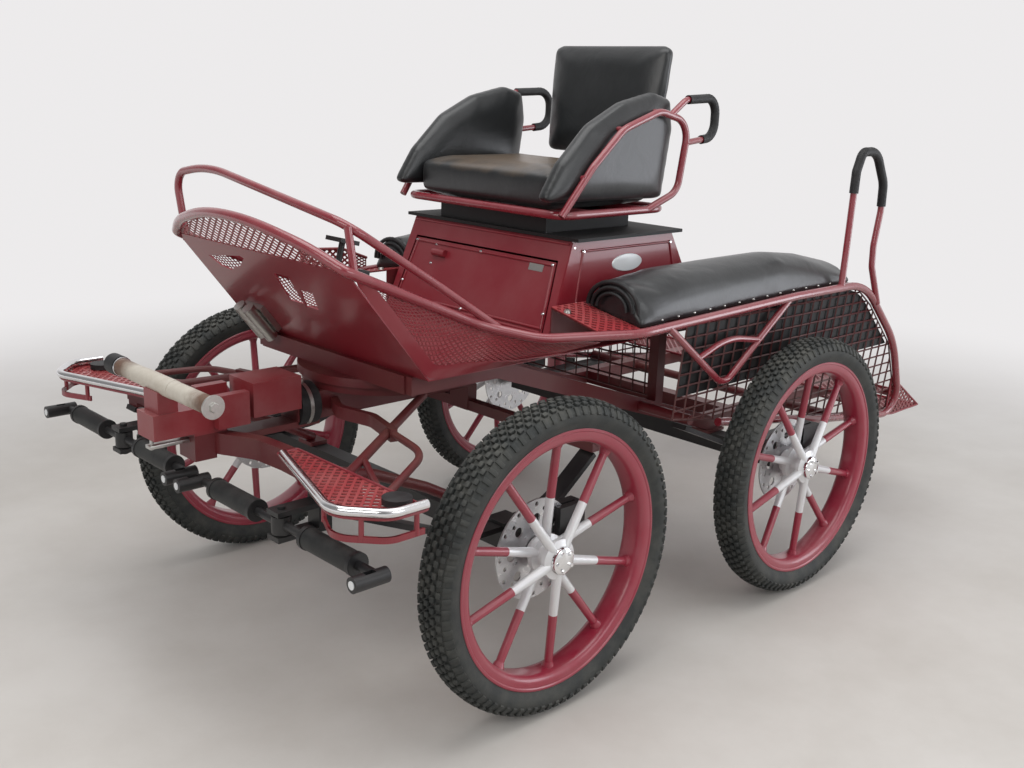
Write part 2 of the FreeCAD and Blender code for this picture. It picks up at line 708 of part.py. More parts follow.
def chassis():
    """Two box rails that drop from the turntable to the rear platform, cross members and posts."""
    tail = rear(-s.tail_length)
    rail = bar([point(front(150), 0, s.rail_front_z), point(front(-100), 0, s.rail_front_z),
                point(rear(20), 0, s.rail_rear_z), point(tail, 0, s.rail_rear_z)],
               s.rail_width, s.rail_height, 60)
    rail.translate(point(0, s.rail_half, 0))
    parts = [rail, mirrored(rail)]
    half = s.rail_half
    low_front = s.rail_front_z - s.rail_height / 2
    for x in (front(115), front(-125), front(-20)):
        parts.append(Part.makeBox(40, float(half) * 2, float(s.rail_height), point(x, -half, low_front)))
    low_rear = s.rail_rear_z - s.rail_height / 2
    for x in (rear(-120), tail):
        parts.append(Part.makeBox(40, float(half) * 2, float(s.rail_height), point(x, -half, low_rear)))
    for side in SIDES:
        post_x = rear(234)
        foot = rail_slope_z(post_x)
        parts.append(Part.makeBox(30, 30, float(s.floor_z) - foot,
                                  point(post_x, s.rail_half * side - 15, foot)))
        seat_z = s.wheel_radius + s.axle_box / 2
        parts.append(Part.makeBox(70, 60, float(low_rear - seat_z) + 1,
                                  point(rear(-35), s.rail_half * side - 30, seat_z)))
    for x, z in ((rear(330), rail_slope_z(rear(330))), (rear(-330), float(s.rail_rear_z))):
        parts.append(straight(point(x, -(s.spring_half + 23), z), point(x, s.spring_half + 23, z), 13))
    node(shaped("chassis_frame", fused(parts)), "chassis_frame")


def rear_springs():
    """Leaf springs between the two cross tubes, clamped on the rear axle."""
    lift = s.wheel_radius + s.axle_box / 2 + s.spring_thick / 2 + 0.1
    drop = 13 + s.spring_thick / 2 + 0.1
    leaf = bar([point(rear(345), 0, rail_slope_z(rear(330)) - float(drop)), point(rear(90), 0, lift),
                point(rear(-90), 0, lift), point(rear(-345), 0, s.rail_rear_z - drop)],
               s.spring_width, s.spring_thick, 200)
    leaf.translate(point(0, s.spring_half, 0))
    node(shaped("rear_springs", pair(leaf)), "rear_springs")


chassis()
rear_springs()


# ---------------------------------------------------------------- body

def board_point(y, up):
    """Point on the sloping footboard's plane; up runs from its bottom (0) to its top (1) and on."""
    x0, x1 = float(front(s.floor_front)), float(front(s.board_top))
    z0, z1 = float(s.floor_z), float(s.board_top_z)
    return Vector(x0 + (x1 - x0) * up, float(y), z0 + (z1 - z0) * up)


BOARD_HOLES = (
    # corners of the footboard's openings as (y, share of the board's length)
    ((-262, 0.80), (-236, 0.71), (-200, 0.69), (-135, 0.765), (-82, 0.87), (-92, 0.89)),
    ((-13, 0.51), (41, 0.51), (67, 0.79), (13, 0.79)),
    ((43, 0.49), (91, 0.49), (125, 0.67), (77, 0.67)),
)


def board_side():
    """Unit vector out of the footboard on the driver's side."""
    return (board_point(0, 1) - board_point(0, 0)).cross(Vector(0, 1, 0)).normalize()


def board_slab(corners, start, depth):
    """A slab over a loop of (y, share) on the footboard, from start to start + depth off its plane."""
    loop = [board_point(y, up) + board_side() * start for y, up in corners]
    return Part.Face(Part.makePolygon([*loop, loop[0]])).extrude(board_side() * depth)


def footwell_shape():
    """Floor sheet and sloping footboard, folded from one sheet."""
    floor = Part.makeBox(float(s.floor_front) + 835, float(s.floor_half) * 2, float(s.sheet),
                         point(front(-835), -s.floor_half, s.floor_z))
    low = [board_point(y, 0) for y in (-s.floor_half, s.floor_half)]
    high = [board_point(y, 0.985) for y in (s.board_half, -s.board_half)]
    board = plate([low[0], high[1], high[0], low[1]], s.sheet)
    for corners in BOARD_HOLES:
        board = board.cut(board_slab(corners, -10, 20))
    return welded(floor.fuse(board))


def footwell():
    """Floor and footboard of the driver's footwell."""
    node(shaped("footwell", footwell_shape()), "footwell")


PEDALS = (
    # y of the arm, share of the board's length beside its pad, how far the pad stands off the board
    (27, 0.59, 165),
    (84, 0.48, 118),
)
PEDAL_PAD = (60, 50, 10)


def brake_pedals():
    """Two pedals on a cross shaft that stands on the footboard's inner side."""
    out = board_side()
    share, stand = 0.26, 27
    shapes = [straight(board_point(-10, share) + out * stand, board_point(122, share) + out * stand, 8)]
    for y in (-4, 116):
        shapes.append(straight(board_point(y, share) + out * (float(s.sheet) + 0.05),
                               board_point(y, share) + out * stand, 7))
    width, height, thick = PEDAL_PAD
    for y, up, stand_off in PEDALS:
        root = board_point(y, share) + out * stand
        foot = board_point(y, up) + out * stand_off
        way = (foot - root).normalize()
        shapes.append(straight(root, foot, 7))
        side, rise = Vector(0, width / 2, 0), way.cross(Vector(0, 1, 0)).normalize() * (height / 2)
        loop = [foot + side + rise, foot - side + rise, foot - side - rise, foot + side - rise]
        shapes.append(Part.Face(Part.makePolygon([*loop, loop[0]])).extrude(way * thick))
    node(shaped("brake_pedals", fused(shapes)), "brake_pedals")


def brake_cylinders():
    """Two master cylinders on a plate under the footboard's far lower corner."""
    drop, radius = 27, 15
    shapes = [board_slab(((-264, 0.09), (-264, 0.33), (-184, 0.33), (-184, 0.09)), -0.05, -14)]
    for y in (-243, -205):
        start, end = (board_point(y, up) - board_side() * drop for up in (0.06, 0.38))
        shapes.append(straight(start, end, radius))
    node(shaped("brake_cylinders", fused(shapes)), "brake_cylinders")


GUARD = (
    # ahead of the front axle, half width, height of its low and high edge
    (-45, 410, 786, 856), (-90, 440, 774, 853), (-226, 483, 771, 838), (-335, 515, 768, 800),
)


def right_side_guard():
    """Mesh guard that stands on the right body rail beside the seat box."""
    sections = []
    half = float(s.sheet) / 2
    for a, y, low, high in GUARD:
        x = float(front(a))
        sections.append([Vector(x, -y - half, low), Vector(x, -y + half, low), Vector(x, -y + half, high),
                         Vector(x, -y - half, high)])
    node(shaped("right_side_guard", welded(loft(sections))), "right_side_guard")


def dash_mesh():
    """Perforated sheet filling the bow above the footboard."""
    half, bow = float(s.board_half), float(s.board_arch)
    length = (board_point(0, 1) - board_point(0, 0)).Length
    start = 0.985 + 0.1 / length
    arc = Part.Arc(board_point(half, 1), board_point(0, 1 + bow / length), board_point(-half, 1)).toShape()
    sides = [Part.makeLine(board_point(-half, 1), board_point(-half, start)),
             Part.makeLine(board_point(-half, start), board_point(half, start)),
             Part.makeLine(board_point(half, start), board_point(half, 1))]
    face = Part.Face(Part.Wire([arc, *sides]))
    rise = (board_point(0, 1) - board_point(0, 0)).cross(Vector(0, 1, 0)).normalize()
    sheet_part = face.extrude(rise * float(s.sheet))
    node(shaped("dash_mesh", welded(sheet_part)), "dash_mesh")


RAIL = (
    # ahead of the front axle, half width, height
    (343, 335, 940), (19, 368, 800), (-90, 440, 770), (-330, 516, 764),
)


def basket_y(z):
    """Half width of the leaning plane that holds the rear rail, tail and basket."""
    lean = (float(s.side_half) - float(s.basket_half)) / (float(s.side_z) - float(s.tail_bottom_z))
    return float(s.side_half) - lean * (float(s.side_z) - float(z))


def rail_path():
    """Centre line of the near body rail, from the dash corner to its tail and forward again."""
    start = [point(front(a), b, c) for a, b, c in RAIL]
    end = rear(-s.tail_length) - s.tube_radius - 0.1
    rest = [(rear(-10), s.side_z), (end + 343, s.side_z), (end + 95, s.side_z - 202),
            (end - 47, s.tail_bottom_z - 59), (rear(-218), s.tail_bottom_z + 18),
            (rear(-60), s.tail_bottom_z + 50), (rear(249), s.tail_bottom_z + 100)]
    return start + [point(x, basket_y(z), z) for x, z in rest]


RAIL_BENDS = (160, 200, 200, 120, 250, 400, 60, 100, 60)


def bow_corners(count=4):
    """Corners of the arched top of the dash: lines that just touch its circle, left end last."""
    half, rise = float(s.board_half), float(s.board_arch)
    length = (board_point(0, 1) - board_point(0, 0)).Length
    radius = (half * half + rise * rise) / (2 * rise)
    spread = math.asin(half / radius)
    corners = []
    for step in range(count):
        angle = -spread + 2 * spread * (step + 0.5) / count
        reach = radius / math.cos(spread / count)
        height = reach * math.cos(angle) - (radius - rise)
        corners.append(board_point(reach * math.sin(angle), 1 + height / length))
    return corners, radius


def rail_solid(radius):
    """The body rail: one tube from the right tail round the dash's bow to the left tail."""
    left = rail_path()
    right = [Vector(c.x, -c.y, c.z) for c in left]
    bow, bow_radius = bow_corners()
    bends = RAIL_BENDS[:len(left) - 2]
    corner = 28
    all_bends = [*bends[::-1], corner, *[bow_radius] * len(bow), corner, *bends]
    return tube([*right[::-1], *bow, *left], radius, all_bends)


def body_rail():
    """The tube that runs round the whole body."""
    node(shaped("body_rail", rail_solid(s.tube_radius)), "body_rail")


def welded(shape):
    """A tube trimmed where it meets the body rail."""
    return shape.cut(RAIL_CUTTER)


RAIL_CUTTER = rail_solid(s.tube_radius + 0.15)


def footwell_sides():
    """Flared side sheets between the floor's edge and the body rail."""
    lean = (board_point(0, 1) - board_point(0, 0)).Length / (board_point(0, 1).x - board_point(0, 0).x)
    rail_line = ((330, 336, 928), (141, 356, 852), (19, 368, 797), (-90, 440, 766), (-230, 485, 757))
    sections = []
    for a, y, z in rail_line:
        x = float(front(a))
        up = (a - float(s.floor_front)) / (float(s.board_top) - float(s.floor_front))
        low = board_point(0, max(0, up)).z + float(s.sheet) * (lean + 0.05 if up > 0 else 1)
        base = float(s.floor_half) - float(s.sheet) - max(0, up) * 10
        t = float(s.sheet)
        top = z - float(s.tube_radius) + 3
        sections.append([Vector(x, base, low), Vector(x, base + t, low),
                         Vector(x, y + t / 2, top), Vector(x, y - t / 2, top)])
    node(shaped("footwell_sides", pair(welded(loft(sections)).cut(footwell_shape()))), "footwell_sides")


def dash_hoop():
    """Grab tube over the footboard: up from the far corner, across, and back down to the near rail."""
    far, near = board_point(-s.board_half, 1), board_point(s.board_half, 1)
    path = [far, Vector(far.x + 6, far.y, 1062), Vector(far.x - 20, -120, 1092),
            Vector(near.x - 8, near.y - 20, 1036), point(front(120), near.y + 12, 892),
            rail_path()[1] + Vector(-40, 14, -8)]
    strut = straight(near, Vector(near.x - 8, near.y - 16, 1036), 8)
    node(shaped("dash_hoop", welded(tube(path, s.slim_radius, [50, 120, 60, 60]).fuse(strut))), "dash_hoop")


def locker_corners(grow, low, high):
    """The eight corners of the tapered seat box between two heights, each wall moved out by grow."""
    loops = []
    for z in (low, high):
        share = (z - float(s.floor_z) - float(s.sheet)) / float(s.locker_height)
        half = float(s.locker_bottom_half) + share * float(s.locker_top_half - s.locker_bottom_half) + grow
        ahead = float(front(-s.locker_front)) - share * float(s.locker_lean_front) + grow
        behind = float(front(-s.locker_rear)) + share * float(s.locker_lean_rear) - grow
        loops.append([Vector(ahead, half, z), Vector(behind, half, z),
                      Vector(behind, -half, z), Vector(ahead, -half, z)])
    return loops


def door_loop(gap, depth):
    """Outline of the locker door in the leaning front wall, grown by gap and set in by depth."""
    base = float(s.floor_z) + float(s.sheet)
    lean = float(s.locker_lean_front) / float(s.locker_height)
    corners = []
    edges = ((float(s.door_low) - gap, float(s.door_half_low) + gap),
             (float(s.door_high) + gap, float(s.door_half_high) + gap))
    for up, half in edges:
        x = float(front(-s.locker_front)) - up * lean - depth
        corners.append((x, half, base + up))
    (x0, h0, z0), (x1, h1, z1) = corners
    return [Vector(x0, h0, z0), Vector(x1, h1, z1), Vector(x1, -h1, z1), Vector(x0, -h0, z0)]


def door_hinge():
    """Left end of the flap door's hinge line, along its lower edge."""
    low = door_loop(0, float(s.sheet) / 2)[0]
    return Vector(low.x, low.y, low.z + 2)


def locker():
    """Hollow seat box with a flap door in its front and a lid plate on top."""
    base = float(s.floor_z + s.sheet)
    top = base + float(s.locker_height)
    wall = float(s.sheet)
    outer = loft(locker_corners(0, base + 0.05, top))
    inner = loft(locker_corners(-wall, base - 1, top + 1))
    opening = loft([door_loop(float(s.door_gap), -20), door_loop(float(s.door_gap), 30)])
    hinge = door_hinge()
    pin = straight(hinge + Vector(0, -hinge.y * 2 - 8, 0), hinge + Vector(0, 8, 0), 2.5)
    node(shaped("locker_box", outer.cut(inner).cut(opening).fuse(pin)), "locker_box")
    door = loft([door_loop(0, 0), door_loop(0, wall)])
    knuckle = straight(hinge + Vector(0, -hinge.y * 2 + 6, 0), hinge + Vector(0, -6, 0), 4.5)
    bore = straight(hinge + Vector(0, -hinge.y * 2 - 20, 0), hinge + Vector(0, 20, 0), 2.5 + float(s.pin_gap))
    latch_x = door_loop(0, 0)[1].x
    latch = Part.makeBox(12, 44, 12, Vector(latch_x + 8, -171, base + 162))
    latch = latch.fuse(Part.makeCylinder(5, 20, Vector(latch_x, -165, base + 168), Vector(1, 0, 0)))
    node(shaped("locker_door", fused([door, knuckle, latch]).cut(bore)), "locker_door")
    lid = across("locker_lid", s.top_plate_rear - s.top_plate_front, s.top_plate_half, s.top_plate_thick,
                 front(-s.top_plate_rear), s.floor_z + s.sheet + s.locker_height + 0.05)
    node(lid, "locker_top_plate")


footwell()
brake_pedals()
brake_cylinders()
right_side_guard()
dash_mesh()
body_rail()
footwell_sides()
dash_hoop()
locker()


# ---------------------------------------------------------------- driver's seat

SEAT_HOOP = (
    # ahead of the front axle, out from the seat ring, height; None stands for the ring's own height
    (-290, 8, None), (-375, 22, 1115), (-470, 26, 1200), (-600, 26, 1242), (-715, 26, 1215),
    (-700, 14, 1045), (-600, 2, None),
)
GRAB_LOOP = ((-640, 26, 1232), (-700, 24, 1270), (-835, 14, 1276), (-835, 14, 1178), (-708, 24, 1166))
WING_TABS = ((-470, 1200), (-600, 1241), (-352, 1090))
WING_LOOP = ((-240, 1034), (-300, 1124), (-395, 1212), (-500, 1262), (-615, 1287), (-680, 1270),
             (-692, 1196), (-665, 1026))


def seat_pedestal():
    """Black block between the seat box's lid and the seat's tube ring."""
    base = s.floor_z + s.sheet + s.locker_height + 0.05 + s.top_plate_thick
    lower = across("pedestal_block", s.pedestal_rear - s.pedestal_front, s.pedestal_half,
                   s.seat_z - 10 - base, front(-s.pedestal_rear), base)
    node(lower, "seat_pedestal")


def seat_frame():
    """Tube ring under the cushion with an arm hoop at each side and a grab loop behind."""
    z = s.seat_z
    a, b, half = front(-s.seat_front), front(-s.seat_rear), s.seat_half
    ring_path = [point(x, y, z) for x, y in ((a - 100, half), (a, half), (a, -half), (b, -half),
                                             (b, half), (a - 100, half))]
    base = tube(ring_path, 10, 40)
    crosses = [straight(point(x, -half, z + 0.1), point(x, half, z + 0.1), 10) for x in (a - 90, b + 90)]
    hoop = tube(ahead_points([(x, half + out, up or z) for x, out, up in SEAT_HOOP]),
                s.slim_radius, [80, 90, 70, 60, 45])
    loop = tube(ahead_points([(x, half + out, up) for x, out, up in GRAB_LOOP]), 8, 40)
    back_post = tube([point(b, 120, z), *ahead_points(((-765, 120, 1080), (-795.5, 120, 1335)))], 9, 60)
    shapes = [base, *crosses]
    tabs = [straight(point(front(x), s.wing_outer + 0.2, up), point(front(x), half + 24, up), 6)
            for x, up in WING_TABS]
    for part in (hoop, loop, back_post, *tabs):
        shapes += [part, mirrored(part)]
    node(shaped("seat_frame", fused(shapes)), "seat_frame")


def seat_pads():
    """Cushion, two side wings and the back pad."""
    z = float(s.seat_z) + 10.3
    cushion = Part.makeBox(float(s.cushion_rear - s.cushion_front), float(s.cushion_half) * 2,
                           float(s.cushion_thick), point(front(-s.cushion_rear), -s.cushion_half, z))
    cushion = cushion.makeFillet(18, cushion.Edges)
    node(shaped("seat_cushion", cushion), "seat_cushion")
    corners = ahead_points([(a, s.wing_inner, up) for a, up in WING_LOOP])
    face = Part.Face(Part.makePolygon([*corners, corners[0]]))
    solid_wing = face.extrude(Vector(0, float(s.wing_outer - s.wing_inner), 0))
    solid_wing = solid_wing.makeFillet(12, solid_wing.Edges)
    node(shaped("seat_wings", pair(solid_wing)), "seat_wings")
    sections = []
    for x, half, up in ((front(-s.back_low_x), s.back_half - 14, s.back_low_z),
                        (front(-s.back_top_x), s.back_half, s.back_top_z)):
        rear_x = x - s.back_thick
        loop = ((x, -half), (x, half), (rear_x, half), (rear_x, -half))
        sections.append([point(a, b, up) for a, b in loop])
    back = loft(sections)
    back = back.makeFillet(20, back.Edges)
    node(shaped("seat_back", back), "seat_back")


DECK = (
    # x, half width and height of the deck's outer edge
    (front(-250), 478, 764), (front(-330), 500, 766), (rear(0), 506, 784), (rear(-323), 506, 784),
)
DECK_IN, DECK_IN_Z = 310, 800

PAD_SECTIONS = (
    # x, height of the crown; a pad lies from its deck up to its crown
    (front(-s.pad_front), 866), (front(-500), 880), (rear(0), 882), (rear(-141), 866), (rear(-311), 834),
)
PAD_IN, PAD_OUT = 326, 500


def deck_z(x, y):
    """Height of the deck's top at a place."""
    for (x0, y0, z0), (x1, y1, z1) in zip(DECK, DECK[1:]):
        if float(x) >= float(x1) - 0.001:
            share = (float(x) - float(x0)) / (float(x1) - float(x0))
            out, low = y0 + (y1 - y0) * share, z0 + (z1 - z0) * share
            return DECK_IN_Z + (low - DECK_IN_Z) * (y - DECK_IN) / (out - DECK_IN)
    raise SystemExit("the side pads run past the end of their decks")


def side_pads():
    """Long crowned pads beside and behind the seat box, over the rear wheels."""
    sections = []
    mid = (PAD_IN + PAD_OUT) / 2
    for x, crown in PAD_SECTIONS:
        low_in, low_out = deck_z(x, PAD_IN) + 0.3, deck_z(x, PAD_OUT) + 0.3
        loop = ((PAD_IN, low_in), (PAD_OUT, low_out), (PAD_OUT, low_out + 14), (mid + 46, crown - 10),
                (mid, crown), (mid - 46, crown - 8), (PAD_IN, low_in + 12))
        sections.append([point(x, y, z) for y, z in loop])
    node(shaped("side_pads", pair(loft(sections))), "side_pads")


def pad_decks():
    """Sheet from the seat box's side out to the body rail; the side pads lie on it."""
    t = float(s.sheet)
    sections = []
    for x, y, z in DECK:
        loop = ((DECK_IN, DECK_IN_Z), (y, z), (y, z - t), (DECK_IN, DECK_IN_Z - t))
        sections.append([point(x, b, c) for b, c in loop])
    deck = loft(sections)
    box_end = front(-840)
    skirt = Part.makeBox(590, t, DECK_IN_Z - float(s.floor_z) - t,
                         point(box_end, DECK_IN, s.floor_z + s.sheet))
    tail_end = DECK[-1][0]
    skirt_rear = Part.makeBox(float(box_end - tail_end) + 2, t, 60, point(tail_end, DECK_IN, DECK_IN_Z - 60))
    node(shaped("pad_decks", pair(welded(fused([deck, skirt, skirt_rear])))), "pad_decks")


seat_pedestal()
seat_frame()
seat_pads()
side_pads()
pad_decks()


# ---------------------------------------------------------------- rear

HOOP_LINE = (
    # ahead of the rear axle, height; up from the rail, over the top and down to the tail
    (-226, 785), (-240, 1098), (-262, 1148), (-335, 1148), (-390, 1060), (-392, 985), (-374, 890),
    (-378, 830), (-432, 720),
)
HOOP_BENDS = (30, 28, 60, 60, 60, 50, 40)


def rear_hoops():
    """Hand hoops for the groom, standing on each body rail."""
    hoop = tube([point(rear(a), s.side_half, z) for a, z in HOOP_LINE], s.slim_radius, HOOP_BENDS)
    node(shaped("rear_hoops", pair(welded(hoop))), "rear_hoops")


def wheel_guards():
    """V-shaped tubes under the body rails that keep posts off the rear wheels."""
    y = s.side_half - 1
    vee = tube([point(rear(a), y, z) for a, z in ((514, 768), (284, 592), (14, 785))], s.slim_radius, 50)
    brace = tube([point(rear(394), y, 676), point(rear(279), y, 712), point(rear(149), y, 690)], 8, 300)
    node(shaped("wheel_guards", pair(welded(vee.fuse(brace)))), "wheel_guards")


BASKET_RIM = (
    # ahead of the rear axle, height; along the rails, down the tail and forward again
    (425, 760), (227, 771), (-335, 772), (-432, 712), (-597, 572), (-680, 430), (-672, 354), (-600, 354),
    (-218, 412), (425, 520),
)
LINING_RIM = (
    (420, 756), (227, 766), (-333, 767), (-428, 708), (-585, 575), (420, 592),
)


def side_sheet(rim, inset, thickness):
    """A sheet in the leaning side plane, so far inside the rails' centre line."""
    corners = [point(rear(a), basket_y(z) - inset, z) for a, z in rim]
    side = plate(corners, thickness)
    if side.BoundBox.YMax > max(c.y for c in corners) + 0.1:
        side = plate(corners[::-1], thickness)
    return side


def basket():
    """Wire grids that close the groom's well at the sides and in front."""
    side = side_sheet(BASKET_RIM, float(s.tube_radius) + 0.15, s.wire)
    half = float(s.rail_half) - 15.1
    front_panel = Part.makeBox(float(s.wire), half * 2, 180, point(rear(245), -half, 500))
    node(shaped("basket_mesh", Part.makeCompound([side, mirrored(side), front_panel])), "basket_mesh")


def well_lining():
    """Dark sheets inside the side grids that keep mud off the groom."""
    side = side_sheet(LINING_RIM, float(s.tube_radius + s.wire) + 0.25, s.lining)
    node(shaped("well_lining", pair(side)), "well_lining")


def platform():
    """Mesh floor at the well's rear end and the step behind it."""
    tail = rear(-s.tail_length)
    half = basket_y(s.platform_z) - float(s.tube_radius + s.wire) - 1
    floor = Part.makeBox(float(rear(-500) - tail), 2 * half, 4, point(tail, -half, s.platform_z + 0.05))
    node(shaped("platform_floor", floor), "platform_floor")
    end = float(tail - s.tube_radius - 0.1)
    z, low, reach = float(s.tail_bar_z), float(s.step_z), float(s.step_length)
    tread = Part.makeBox(reach, 2 * 474, 4, point(end - reach, -474, low))
    rim = [Vector(end + a, 470, up) for a, up in ((26, 457), (0, z), (11, 360), (40, 336), (-10, low),
                                                  (-reach, low), (-reach, low + 6))]
    gusset = Part.Face(Part.makePolygon([*rim, rim[0]])).extrude(Vector(0, 5, 0))
    tail_bar = straight(Vector(end, -basket_y(z), z), Vector(end, basket_y(z), z), 11)
    node(shaped("rear_step", welded(fused([tread, gusset, mirrored(gusset), tail_bar]))), "rear_step")


rear_hoops()
wheel_guards()
basket()
well_lining()
platform()


# ---------------------------------------------------------------- write

def write_parts():
    """Check every object, then write one file for each sub-part."""
    doc.recompute()
    for thing in doc.Objects:
        if set(thing.State) & {"Invalid", "Error"}:
            raise SystemExit(f"{thing.Name} did not compute: {thing.State}")
    os.makedirs("parts", exist_ok=True)
    for thing in nodes:
        shape = thing.Shape
        if shape.isNull() or not shape.isValid():
            raise SystemExit(f"{thing.Label} has no valid shape")
        shape.exportStep(f"parts/{thing.Label}.step")
        print(f"{thing.Label:22s} {len(shape.Solids)} solid(s) {shape.Volume / 1000:10.1f} cm3")


write_parts()
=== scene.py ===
# %% [markdown]
# # A sporting carriage for a pair of ponies
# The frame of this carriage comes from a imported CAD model, so every place and size is already
# settled. This lesson gives it its surfaces: painted steel tube, spoked wheels with knobbly
# tyres, expanded-metal sheets, black vinyl cushions and the small bright parts.
# +X points forward to the ponies, +Y to the carriage's left and +Z up. Lengths are in metres.

# %% Load the frame
import math
import bpy
import bmesh
from mathutils import Matrix, Vector
from mathutils.bvhtree import BVHTree


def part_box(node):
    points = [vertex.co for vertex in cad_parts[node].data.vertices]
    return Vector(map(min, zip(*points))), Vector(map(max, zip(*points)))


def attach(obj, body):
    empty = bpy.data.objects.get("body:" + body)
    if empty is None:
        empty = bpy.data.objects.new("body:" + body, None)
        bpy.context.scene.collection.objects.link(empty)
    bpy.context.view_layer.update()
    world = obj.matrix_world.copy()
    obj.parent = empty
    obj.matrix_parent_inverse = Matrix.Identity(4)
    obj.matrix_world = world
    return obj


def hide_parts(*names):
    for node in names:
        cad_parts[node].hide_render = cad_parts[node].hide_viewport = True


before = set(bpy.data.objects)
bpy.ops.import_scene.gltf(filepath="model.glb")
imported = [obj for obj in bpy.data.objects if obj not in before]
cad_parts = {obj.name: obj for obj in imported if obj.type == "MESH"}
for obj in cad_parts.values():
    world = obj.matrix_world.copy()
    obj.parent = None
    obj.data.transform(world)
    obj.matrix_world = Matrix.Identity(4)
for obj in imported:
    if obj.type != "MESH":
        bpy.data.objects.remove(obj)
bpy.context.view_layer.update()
LEFT, RIGHT = 1, -1

# %% [markdown]
# ## Small tools for materials
# Every finish is a Principled shader. Values that are the same all over sit on the shader's own
# sockets. What changes over the surface, such as dust or grain, comes from a node group, so that
# several finishes can share one recipe and each give it its own numbers.

# %% Node helpers
def connect(tree, value, socket):
    """Link value to socket when it comes from a node, else set it there."""
    if isinstance(value, bpy.types.NodeSocket):
        tree.links.new(value, socket)
    else:
        socket.default_value = value


def add(tree, kind, inputs=(), **settings):
    """A node of that kind; inputs are (socket name or number, value or socket)."""
    node = tree.nodes.new("ShaderNode" + kind)
    for name, value in settings.items():
        setattr(node, name, value)
    for name, value in inputs:
        connect(tree, value, node.inputs[name])
    return node


def place_on_piece(tree):
    """Object coordinates: the place on the piece, in the frame's metres."""
    return add(tree, "TexCoord").outputs["Object"]


def noise(tree, place, scale, detail, roughness=0.5):
    return add(tree, "TexNoise", (("Vector", place), ("Scale", scale), ("Detail", detail),
                                  ("Roughness", roughness))).outputs["Fac"]


def spread(tree, value, low, high, to_low=0.0, to_high=1.0, **settings):
    """Map the range from low to high on to another range."""
    node = add(tree, "MapRange", (("Value", value), ("From Min", low), ("From Max", high),
                                  ("To Min", to_low), ("To Max", to_high)), **settings)
    return node.outputs[0]


def mix_colors(tree, share, first, second):
    """Two colours mixed; a share of 1 is all second. Sockets 6 and 7 are the node's colours."""
    node = add(tree, "Mix", (("Factor", share), (6, first), (7, second)), data_type="RGBA")
    return node.outputs[2]


def arithmetic(tree, operation, *values):
    return add(tree, "Math", tuple(enumerate(values)), operation=operation).outputs[0]


def new_group(name, inputs, outputs):
    """An empty node group with named sockets, and its two end nodes."""
    tree = bpy.data.node_groups.new(name, "ShaderNodeTree")
    for label, kind, value in inputs:
        socket = tree.interface.new_socket(label, in_out="INPUT", socket_type="NodeSocket" + kind)
        socket.default_value = value
    for label, kind in outputs:
        tree.interface.new_socket(label, in_out="OUTPUT", socket_type="NodeSocket" + kind)
    return tree, tree.nodes.new("NodeGroupInput"), tree.nodes.new("NodeGroupOutput")


def new_material(name, **values):
    """A Principled material; values go on the shader's own sockets."""
    material = bpy.data.materials.new(name)
    material.use_nodes = True
    shader = material.node_tree.nodes["Principled BSDF"]
    for socket, value in values.items():
        shader.inputs[socket.replace("_", " ")].default_value = value
    return material, material.node_tree, shader


def surface(tree, shader, color, roughness, normal=None):
    """Connect what changes over the surface."""
    connect(tree, color, shader.inputs["Base Color"])
    connect(tree, roughness, shader.inputs["Roughness"])
    if normal is not None:
        connect(tree, normal, shader.inputs["Normal"])


def use_group(tree, group, inputs=()):
    node = tree.nodes.new("ShaderNodeGroup")
    node.node_tree = group
    for name, value in inputs:
        connect(tree, value, node.inputs[name])
    return node


# %% [markdown]
# ## Dust, and the two kinds of grain
# A carriage that has stood in a shed is never one colour. Dust settles on faces that look up and
# in slow patches, so its mask is the surface normal's Z times a soft noise. Fine noise through a
# Bump node gives paint its slight orange peel, and a Voronoi pattern gives vinyl its leather grain.

# %% Dust group
def make_dust():
    tree, start, end = new_group(
        "settled dust",
        (("Paint", "Color", (1, 1, 1, 1)), ("Dust", "Color", (0.5, 0.46, 0.42, 1)),
         ("Amount", "Float", 0.3), ("Patch Size", "Float", 7.0), ("Gloss", "Float", 0.3),
         ("Dull", "Float", 0.3)),
        (("Color", "Color"), ("Roughness", "Float")))
    patches = noise(tree, place_on_piece(tree), start.outputs["Patch Size"], 6.0, 0.62)
    soft = spread(tree, patches, 0.38, 0.72)
    normal = add(tree, "NewGeometry").outputs["Normal"]
    up = add(tree, "SeparateXYZ", (("Vector", normal),)).outputs["Z"]
    facing = spread(tree, up, -0.6, 1.0, 0.25, 1.0)
    both = arithmetic(tree, "MULTIPLY", soft, facing)
    mask = arithmetic(tree, "MULTIPLY", both, start.outputs["Amount"])
    mixed = mix_colors(tree, mask, start.outputs["Paint"], start.outputs["Dust"])
    dulled = arithmetic(tree, "MULTIPLY_ADD", mask, start.outputs["Dull"], start.outputs["Gloss"])
    connect(tree, mixed, end.inputs["Color"])
    connect(tree, dulled, end.inputs["Roughness"])
    return tree


DUST = make_dust()


# %% Surface grain groups
def make_peel():
    """Orange peel: a fine, shallow bump."""
    tree, start, end = new_group("orange peel",
                                 (("Size", "Float", 260.0), ("Depth", "Float", 0.12)),
                                 (("Normal", "Vector"),))
    fine = noise(tree, place_on_piece(tree), start.outputs["Size"], 2.0)
    bump = add(tree, "Bump", (("Strength", start.outputs["Depth"]), ("Distance", 0.001),
                              ("Height", fine)))
    connect(tree, bump.outputs[0], end.inputs["Normal"])
    return tree


